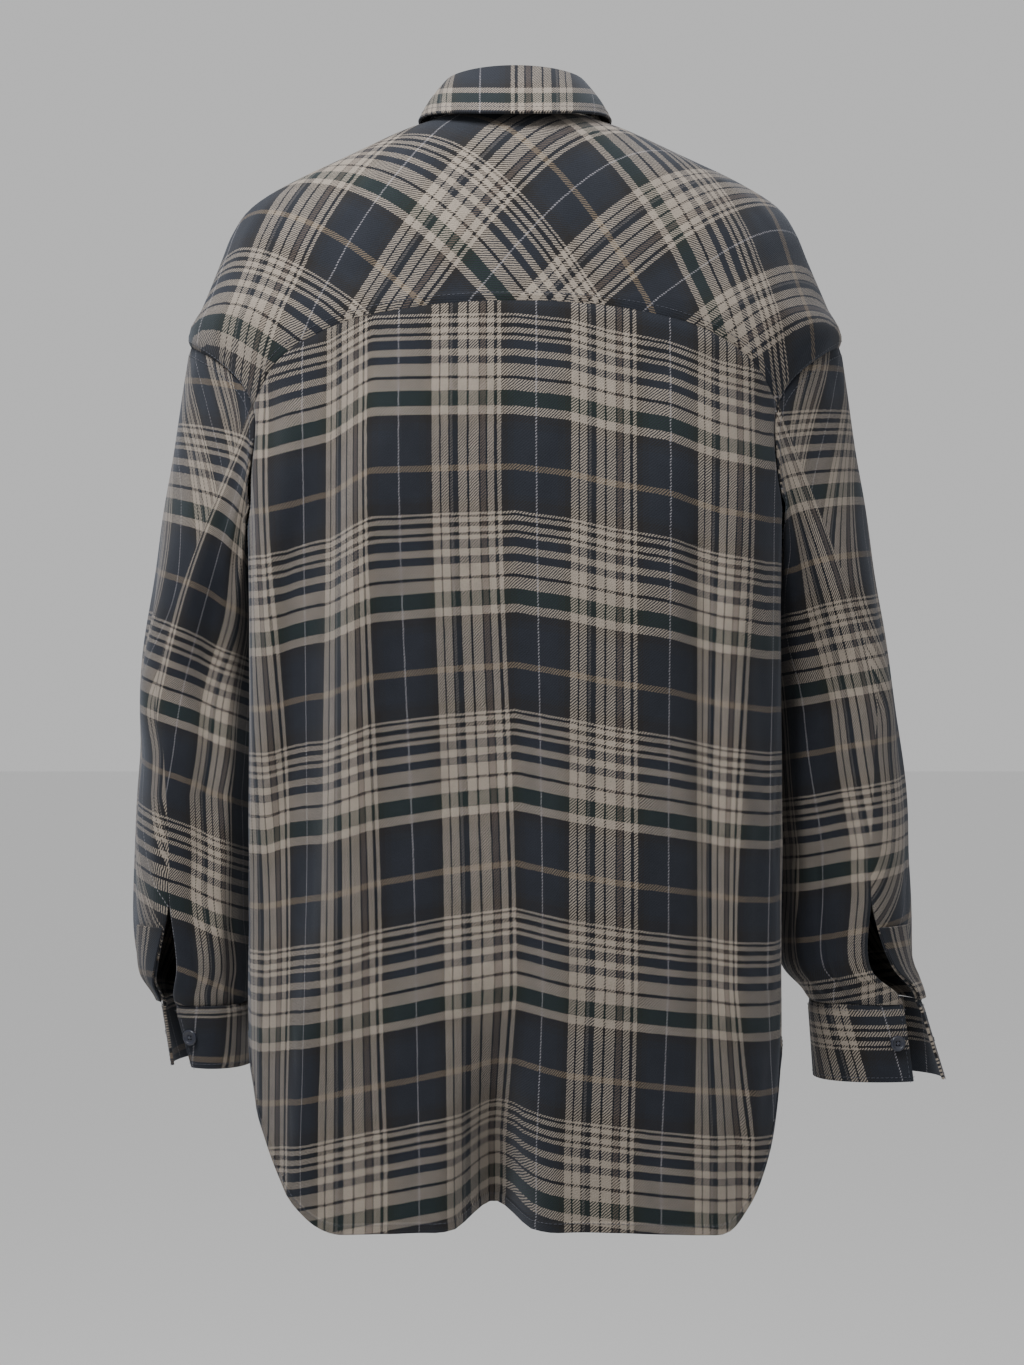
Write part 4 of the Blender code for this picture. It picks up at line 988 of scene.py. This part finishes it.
for word, sleeve in SLEEVES.items():
    rings = sleeve.rings
    wrist = rings[CUFF_SEAM_RING - 1]
    width_turn = np.degrees(PLACKET_WIDTH / sleeve.girth_radius(wrist))
    top = CUFF_SEAM_RING - PLACKET_LENGTH / (rings[2][0] - rings[3][0])
    place = mix(top, CUFF_SEAM_RING - 0.04, shares(30))[:, None]
    end = sleeve.slit_turn(place) + 360.0 - sleeve.slit_half_turn(place)
    turn = end - width_turn * (1.0 - shares(12))
    points = sleeve.point(turn, place + 0.0 * turn)
    across = distance_from(points, 1, 0)
    uv = np.stack([PLACKET_WARP[word] + across, SLEEVE_GREEN[word][0] - points[..., 2]], -1)
    placket = cloth_shell(f"flannel_placket_{word}", points, uv, -sleeve.side, lift=LAYER_LIFT)
    fix_cloth(
        placket, f"placket_{word}", flat=(PLACKET_WIDTH, PLACKET_LENGTH), held="stretched",
        rests_on=[f"flannel_sleeve_{word}"],
    )

    half = float(sleeve.slit_half_turn(float(CUFF_SEAM_RING)))
    slit = float(sleeve.slit_turn(float(CUFF_SEAM_RING)))
    turn, share = np.meshgrid(
        mix(slit + half, slit + 360.0 - half, shares(120)), mix(0.02, 1.0, shares(20)),
    )
    points = sleeve.cuff_point(turn, share)
    around, down = distance_from(points, 1, 0), distance_from(points, 0, 0)
    lead_u, lead_top, lead_low = CUFF_LEAD[word]
    uv = np.zeros((*turn.shape, 2))
    for row, down_share in enumerate(share[:, 0]):
        ring = mix(rings[CUFF_SEAM_RING - 1], rings[CUFF_SEAM_RING], down_share)
        away = mix(lead_top, lead_low, down_share) - ring[2]
        half_x = ring[1] - ring[2] if away > 0.0 else ring[2] - ring[3]
        lead_turn = np.degrees(np.arccos(np.clip(away / half_x, -0.9, 0.9)))
        uv[row, :, 0] = lead_u - sleeve.side * (around[row] - np.interp(lead_turn, turn[row], around[row]))
    uv[..., 1] = CUFF_WEFT_AT_SEAM[word] - down
    cuff = cloth_shell(f"flannel_cuff_{word}", points, uv, -sleeve.side, wall=DOUBLE_WALL, seams=("top",))
    depth = float(down[-1].mean())
    fix_cloth(
        cuff, f"cuff_{word}", flat=(float(around[0, -1]), depth), held="folded",
        rests_on=[f"flannel_sleeve_{word}"],
    )
    CUFF_GRID[word] = (points, -sleeve.side)

# ---------------------------------------------------------------------------------------------------
# The buttons. Ten four-hole shirt buttons in dark navy resin with a satin finish, sewn on through the cloth
# with a cross of thread: seven down the front, one on the collar stand and one on each cuff.

BUTTON_RADIUS = 0.0057
BUTTON_THICKNESS = 0.0026
BUTTON_HOLE_RADIUS = 0.0007
BUTTON_SIDES = 64
THREAD_RADIUS = 0.00022
FRONT_BUTTONS = 7
FIRST_BUTTON_DOWN = 0.045
BUTTON_SPACING = 0.088
CUFF_BUTTON_TURN = 13.0


def plain_material(name, colour, roughness, sheen):
    material = bpy.data.materials.new(name)
    material.use_nodes = True
    shader = material.node_tree.nodes["Principled BSDF"]
    shader.inputs["Base Color"].default_value = (*colour, 1.0)
    shader.inputs["Roughness"].default_value = roughness
    shader.inputs["Sheen Weight"].default_value = sheen
    return material


resin = plain_material("button_resin", (0.012, 0.014, 0.024), 0.32, 0.0)
thread = plain_material("navy_thread", (0.020, 0.024, 0.040), 0.70, 0.3)


def button_mesh():
    """A turned rim and a dished middle about the button's own Z axis, drilled with four holes."""
    half = BUTTON_THICKNESS / 2.0
    profile = (
        (0.0, 0.30), (0.40, 0.30), (0.58, 0.34), (0.66, 0.52), (0.72, 0.82), (0.79, 0.98), (0.86, 1.0),
        (0.93, 0.88), (0.985, 0.55), (1.0, 0.20), (0.985, -0.15), (0.92, -0.60), (0.80, -0.92),
        (0.60, -1.0), (0.0, -1.0),
    )
    work = bmesh.new()
    verts = [work.verts.new((radius * BUTTON_RADIUS, 0.0, height * half)) for radius, height in profile]
    edges = [work.edges.new(pair) for pair in zip(verts, verts[1:])]
    bmesh.ops.spin(
        work, geom=verts + edges, cent=(0, 0, 0), axis=(0, 0, 1), angle=2.0 * np.pi, steps=BUTTON_SIDES,
    )
    bmesh.ops.remove_doubles(work, verts=work.verts, dist=1e-6)
    bmesh.ops.recalc_face_normals(work, faces=work.faces)
    blank = bpy.data.meshes.new("button_blank")
    work.to_mesh(blank)
    work.free()
    drills = bmesh.new()
    for quarter in range(4):
        turn = np.radians(45.0 + 90.0 * quarter)
        place = Vector((np.cos(turn), np.sin(turn), 0.0)) * BUTTON_RADIUS * 0.26
        bmesh.ops.create_cone(
            drills, cap_ends=True, segments=20, radius1=BUTTON_HOLE_RADIUS, radius2=BUTTON_HOLE_RADIUS,
            depth=BUTTON_THICKNESS * 3.0, matrix=Matrix.Translation(place),
        )
    drill = bpy.data.meshes.new("button_drills")
    drills.to_mesh(drill)
    drills.free()
    blank_object = bpy.data.objects.new("button_blank", blank)
    drill_object = bpy.data.objects.new("button_drills", drill)
    for made in (blank_object, drill_object):
        bpy.context.scene.collection.objects.link(made)
    cut = blank_object.modifiers.new("thread_holes", "BOOLEAN")
    cut.object = drill_object
    graph = bpy.context.evaluated_depsgraph_get()
    drilled = bpy.data.meshes.new_from_object(blank_object.evaluated_get(graph))
    for made in (blank_object, drill_object):
        bpy.data.objects.remove(made, do_unlink=True)
    drilled.name = "shirt_button"
    drilled.materials.clear()
    drilled.materials.append(resin)
    drilled.shade_smooth()
    drilled.set_sharp_from_angle(angle=np.radians(40.0))
    return drilled


def bar(start, end, radius, sides=10, rings=7):
    """A thread's bar from one point to another, as vertices and faces, with rounded ends."""
    axis = (end - start).normalized()
    first = axis.orthogonal().normalized()
    second = axis.cross(first)
    length = (end - start).length
    vertices, faces = [start.copy()], []
    for ring in range(1, rings):
        t = ring / rings
        swell = np.sqrt(max(1.0 - (2.0 * t - 1.0) ** 4, 0.05))
        for side in range(sides):
            turn = 2.0 * np.pi * side / sides
            offset = (first * np.cos(turn) + second * np.sin(turn)) * radius * swell
            vertices.append(start + axis * length * t + offset)
    vertices.append(end.copy())
    last = len(vertices) - 1
    for side in range(sides):
        other = (side + 1) % sides
        faces.append((0, 1 + other, 1 + side))
        for ring in range(rings - 2):
            a, b = 1 + ring * sides + side, 1 + ring * sides + other
            faces.append((a, b, b + sides, a + sides))
        low = 1 + (rings - 2) * sides
        faces.append((last, low + side, low + other))
    return vertices, faces


def bars_object(name, bars, material):
    vertices, faces = [], []
    for more, joined_faces in bars:
        faces += [tuple(index + len(vertices) for index in face) for face in joined_faces]
        vertices += more
    mesh = bpy.data.meshes.new(name)
    mesh.from_pydata([tuple(v) for v in vertices], [], faces)
    work = bmesh.new()
    work.from_mesh(mesh)
    bmesh.ops.recalc_face_normals(work, faces=work.faces)
    work.to_mesh(mesh)
    work.free()
    mesh.shade_smooth()
    mesh.materials.append(material)
    piece = bpy.data.objects.new(name, mesh)
    bpy.context.scene.collection.objects.link(piece)
    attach(piece, "root")
    return piece


BUTTON_MESH = button_mesh()
button_threads = []


def add_button(name, node, point, normal, layers):
    """A button set a little off the cloth, and the cross of thread that holds it."""
    height = layers + DOUBLE_WALL / 2.0 + 0.0003 + BUTTON_THICKNESS / 2.0
    turn = Vector(normal).to_track_quat("Z", "Y").to_matrix().to_4x4()
    place = Matrix.Translation(Vector(point) + Vector(normal) * height) @ turn
    mesh = BUTTON_MESH.copy()
    mesh.transform(place)
    piece = bpy.data.objects.new(name, mesh)
    bpy.context.scene.collection.objects.link(piece)
    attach(piece, "root")
    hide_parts(node)
    rise = BUTTON_THICKNESS / 2.0 * 0.30 + THREAD_RADIUS
    reach = BUTTON_RADIUS * 0.26 * 0.7071
    for x0, y0, x1, y1 in ((-1, -1, 1, 1), (-1, 1, 1, -1)):
        ends = [place @ Vector((x * reach, y * reach, rise)) for x, y in ((x0, y0), (x1, y1))]
        button_threads.append(bar(ends[0], ends[1], THREAD_RADIUS * 1.6))


def surface_at(surface, angle, level, outward):
    """A point of a surface, and the direction out of it there."""
    one, other = surface(angle + 0.05, level), surface(angle - 0.05, level)
    low, high = surface(angle, level + 0.01), surface(angle, level - 0.01)
    normal = np.cross(one - other, low - high) * outward
    return surface(angle, level), normal / np.linalg.norm(normal)


centre_levels = np.linspace(0.0, LEVEL["tail"], 600)
centre_heights = torso(np.full(600, -90.0), centre_levels)[:, 2]
front_button_levels = []
for index in range(FRONT_BUTTONS):
    height = TORSO[0][2] - FIRST_BUTTON_DOWN - index * BUTTON_SPACING
    level = float(np.interp(-height, -centre_heights, centre_levels))
    front_button_levels.append(level)
    point, normal = surface_at(torso, np.array(-90.0), np.array(level), -1)
    add_button(f"shirt_button_front_{index + 1}", f"button_front_{index + 1}", point, normal, LAYER_LIFT)


def stand_surface(angle, level):
    return collar(STAND_SECTIONS, np.asarray(angle, float), np.asarray(level, float))


point, normal = surface_at(stand_surface, np.array(270.0), np.array(1.0), 1)
add_button("shirt_button_stand", "button_stand", point, normal, 0.0)
for word, sleeve in SLEEVES.items():
    half = float(sleeve.slit_half_turn(float(CUFF_SEAM_RING)))
    turn = np.array(float(sleeve.slit_turn(float(CUFF_SEAM_RING))) + half + CUFF_BUTTON_TURN)
    point, normal = surface_at(sleeve.cuff_point, turn, np.array(0.5), -sleeve.side)
    add_button(f"shirt_button_cuff_{word}", f"button_cuff_{word}", point, normal, 0.0)
bars_object("button_threads", button_threads, thread)

# ---------------------------------------------------------------------------------------------------
# The stitching. Single rows of navy thread beside the seams, round the collar, cuffs and bands and along the
# hem, and worked buttonholes on the buttonhole band and the cuffs' free ends.

STITCH_PITCH = 0.0034
STITCH_LENGTH = 0.0027
STITCH_RADIUS = 0.00022
STITCH_STANDS = 0.4  # how far a stitch's middle stands off the cloth, as a share of its radius
SEAM_STITCH_IN = 0.0055  # from a seam or an edge to its row of stitches
EDGE_STITCH_IN = 0.0030
BUTTONHOLE_LENGTH = 0.0145
BUTTONHOLE_STEPS = 18
BUTTONHOLE_BAR = (0.0003, 0.0014)  # a bar's two ends, out from the middle of the cut
BUTTONHOLE_THREAD = 1.3  # thickness of a bar beside a stitch's
HEM_STITCH_UP = HEM_DEPTH - 0.001
FRONT_HEM_SEWN = 0.72  # the share of a front's lower edge that its row of stitches runs along
CUFF_HOLE_TURN = CUFF_BUTTON_TURN * 1.2  # from the slit to the middle of the cuff's buttonhole


def stitch_path(points, outward, side, inset, wall, lift=0.0, joined=0):
    """A line on the cloth's outer face, this far in from one side of its grid."""
    axis, end = SIDES[side]
    away = distance_from(points, axis, end)
    above = wall / 2.0 + lift + STITCH_RADIUS * STITCH_STANDS
    face = points + grid_normals(points, outward, joined) * above
    if axis == 1:
        away, face = away.T, face.transpose(1, 0, 2)
    if end == -1:
        away, face = away[::-1], face[::-1]
    return np.array([
        [np.interp(inset, away[:, c], face[:, c, k]) for k in range(3)] for c in range(away.shape[1])
    ])


def stitch_tree():
    """Resample each line to the stitch pitch, and lay one small rounded stitch along it at each point."""
    tree = bpy.data.node_groups.new("stitches", "GeometryNodeTree")
    for name, kind in (
        ("Geometry", "NodeSocketGeometry"), ("Pitch", "NodeSocketFloat"), ("Length", "NodeSocketFloat"),
        ("Radius", "NodeSocketFloat"), ("Thread", "NodeSocketMaterial"),
    ):
        tree.interface.new_socket(name, in_out="INPUT", socket_type=kind)
    tree.interface.new_socket("Geometry", in_out="OUTPUT", socket_type="NodeSocketGeometry")
    nodes, links = tree.nodes, tree.links
    start, finish = nodes.new("NodeGroupInput"), nodes.new("NodeGroupOutput")
    curve, sample = nodes.new("GeometryNodeMeshToCurve"), nodes.new("GeometryNodeResampleCurve")
    sample.mode = "LENGTH"
    shape = nodes.new("GeometryNodeMeshUVSphere")
    shape.inputs["Segments"].default_value = 6
    shape.inputs["Rings"].default_value = 4
    shape.inputs["Radius"].default_value = 1.0
    half = nodes.new("ShaderNodeMath")
    half.operation = "MULTIPLY"
    half.inputs[1].default_value = 0.5
    size = nodes.new("ShaderNodeCombineXYZ")
    tangent, align = nodes.new("GeometryNodeInputTangent"), nodes.new("FunctionNodeAlignRotationToVector")
    align.axis = "Z"
    instance, realize = nodes.new("GeometryNodeInstanceOnPoints"), nodes.new("GeometryNodeRealizeInstances")
    paint = nodes.new("GeometryNodeSetMaterial")
    links.new(start.outputs["Geometry"], curve.inputs[0])
    links.new(curve.outputs[0], sample.inputs["Curve"])
    links.new(start.outputs["Pitch"], sample.inputs["Length"])
    links.new(start.outputs["Length"], half.inputs[0])
    links.new(start.outputs["Radius"], size.inputs["X"])
    links.new(start.outputs["Radius"], size.inputs["Y"])
    links.new(half.outputs[0], size.inputs["Z"])
    links.new(tangent.outputs[0], align.inputs["Vector"])
    links.new(sample.outputs["Curve"], instance.inputs["Points"])
    links.new(shape.outputs["Mesh"], instance.inputs["Instance"])
    links.new(align.outputs["Rotation"], instance.inputs["Rotation"])
    links.new(size.outputs[0], instance.inputs["Scale"])
    links.new(instance.outputs[0], realize.inputs[0])
    links.new(realize.outputs[0], paint.inputs["Geometry"])
    links.new(start.outputs["Thread"], paint.inputs["Material"])
    links.new(paint.outputs[0], finish.inputs[0])
    return tree


STITCH_TREE = stitch_tree()


def add_stitches(name, paths):
    """Sew these lines, as one plain mesh."""
    vertices, edges = [], []
    for path in paths:
        first = len(vertices)
        vertices += path.tolist()
        edges += [(first + k, first + k + 1) for k in range(len(path) - 1)]
    lines = bpy.data.meshes.new(name + "_lines")
    lines.from_pydata(vertices, edges, [])
    piece = bpy.data.objects.new(name, lines)
    bpy.context.scene.collection.objects.link(piece)
    sewing = piece.modifiers.new("stitches", "NODES")
    sewing.node_group = STITCH_TREE
    values = {"Pitch": STITCH_PITCH, "Length": STITCH_LENGTH, "Radius": STITCH_RADIUS, "Thread": thread}
    for socket in STITCH_TREE.interface.items_tree:
        if socket.in_out == "INPUT" and socket.name in values:
            sewing[socket.identifier] = values[socket.name]
    graph = bpy.context.evaluated_depsgraph_get()
    sewn = bpy.data.meshes.new_from_object(piece.evaluated_get(graph))
    piece.modifiers.remove(sewing)
    piece.data = sewn
    sewn.shade_smooth()
    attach(piece, "root")


add_stitches("stitches_yoke", [
    stitch_path(yoke_points, -1, side, SEAM_STITCH_IN, FLANNEL_WALL)
    for side in ("low", "start", "finish")
])
add_stitches("stitches_back", [
    stitch_path(back_points, -1, "low", HEM_STITCH_UP, FLANNEL_WALL, HEM_RISE)
])
for word, (points, outward) in FRONT_POINTS.items():
    lift = HEM_RISE + LAYER_LIFT * (word == "right")
    path = stitch_path(points, outward, "low", HEM_STITCH_UP, FLANNEL_WALL, lift)
    add_stitches(f"stitches_front_{word}", [path[: int(FRONT_HEM_SEWN * len(path))]])
for word, (points, rise) in BAND_POINTS.items():
    add_stitches(f"stitches_{word}", [
        stitch_path(points, 1, side, EDGE_STITCH_IN, DOUBLE_WALL, rise) for side in ("start", "finish")
    ])
add_stitches("stitches_collar", [
    stitch_path(leaf_points, -1, side, SEAM_STITCH_IN, DOUBLE_WALL) for side in ("low", "start", "finish")
])
for word, (points, joined) in SLEEVE_POINTS.items():
    side = SLEEVES[word].side
    add_stitches(f"stitches_armhole_{word}", [
        stitch_path(points, -side, "top", SEAM_STITCH_IN, FLANNEL_WALL, joined=joined)
    ])
    cuff_points, outward = CUFF_GRID[word]
    add_stitches(f"stitches_cuff_{word}", [
        stitch_path(cuff_points, outward, cuff_side, EDGE_STITCH_IN, DOUBLE_WALL)
        for cuff_side in ("top", "low", "start", "finish")
    ])


def buttonhole(point, normal, along, length):
    """Close bars of thread on both sides of a cut, at a point of the cloth's face."""
    point, normal, along = Vector(point), Vector(normal), Vector(along).normalized()
    across = normal.cross(along)
    bars = []
    for step in range(BUTTONHOLE_STEPS):
        middle = point + along * length * ((step + 0.5) / BUTTONHOLE_STEPS - 0.5)
        for way in (-1.0, 1.0):
            ends = [middle + across * way * out for out in BUTTONHOLE_BAR]
            bars.append(bar(*ends, STITCH_RADIUS * BUTTONHOLE_THREAD, sides=6, rings=4))
    return bars


holes = []
for level in front_button_levels:
    point, normal = surface_at(torso, np.array(-90.0), np.array(level), -1)
    face = point + normal * (LAYER_LIFT + DOUBLE_WALL / 2.0)
    holes += buttonhole(face, normal, (0.0, 0.0, 1.0), BUTTONHOLE_LENGTH)
for word, sleeve in SLEEVES.items():
    half = float(sleeve.slit_half_turn(float(CUFF_SEAM_RING)))
    turn = float(sleeve.slit_turn(float(CUFF_SEAM_RING))) + 360.0 - half - CUFF_HOLE_TURN
    point, normal = surface_at(sleeve.cuff_point, np.array(turn), np.array(0.5), -sleeve.side)
    ahead = sleeve.cuff_point(np.array(turn + 1.0), np.array(0.5)) - point
    holes += buttonhole(point + normal * DOUBLE_WALL / 2.0, normal, ahead, BUTTONHOLE_LENGTH)
bars_object("buttonholes", holes, thread)

# ---------------------------------------------------------------------------------------------------
# The floor, the light and the camera. A pale floor well below the hanging shirt, a large soft light high
# behind the wearer, a weaker one from the other side, and an even pale surround.

FLOOR_HEIGHT = -1.45
floor_mesh = bpy.data.meshes.new("floor")
floor_mesh.from_pydata([(-30, -30, 0), (30, -30, 0), (30, 30, 0), (-30, 30, 0)], [], [(0, 1, 2, 3)])
floor_mesh.materials.append(plain_material("pale_floor", (0.86, 0.86, 0.86), 0.9, 0.0))
floor = bpy.data.objects.new("floor", floor_mesh)
floor.location = (0.0, 0.0, FLOOR_HEIGHT)
bpy.context.scene.collection.objects.link(floor)

world = bpy.data.worlds.new("studio")
bpy.context.scene.world = world
world.use_nodes = True
world.node_tree.nodes["Background"].inputs["Color"].default_value = (1.0, 1.0, 1.0, 1.0)
world.node_tree.nodes["Background"].inputs["Strength"].default_value = 0.62


def soft_light(name, place, target, size, power):
    data = bpy.data.lights.new(name, "AREA")
    data.shape = "SQUARE"
    data.size = size
    data.energy = power
    light = bpy.data.objects.new(name, data)
    light.location = place
    light.rotation_euler = (Vector(target) - Vector(place)).to_track_quat("-Z", "Y").to_euler()
    bpy.context.scene.collection.objects.link(light)


soft_light("key", (0.50, 0.85, 0.90), (0.0, 0.08, -0.25), 0.7, 46.0)
soft_light("fill", (-1.5, 1.9, 0.5), (0.0, 0.0, -0.4), 1.4, 9.0)

camera_data = bpy.data.cameras.new("camera")
camera_data.lens = 71.95
camera_data.sensor_width = 36.0
camera_data.sensor_fit = "AUTO"
camera = bpy.data.objects.new("camera", camera_data)
camera.location = (0.0022, 2.012, -0.4065)
camera.rotation_euler = (np.radians(90.0), 0.0, np.radians(180.0))
bpy.context.scene.collection.objects.link(camera)
bpy.context.scene.camera = camera
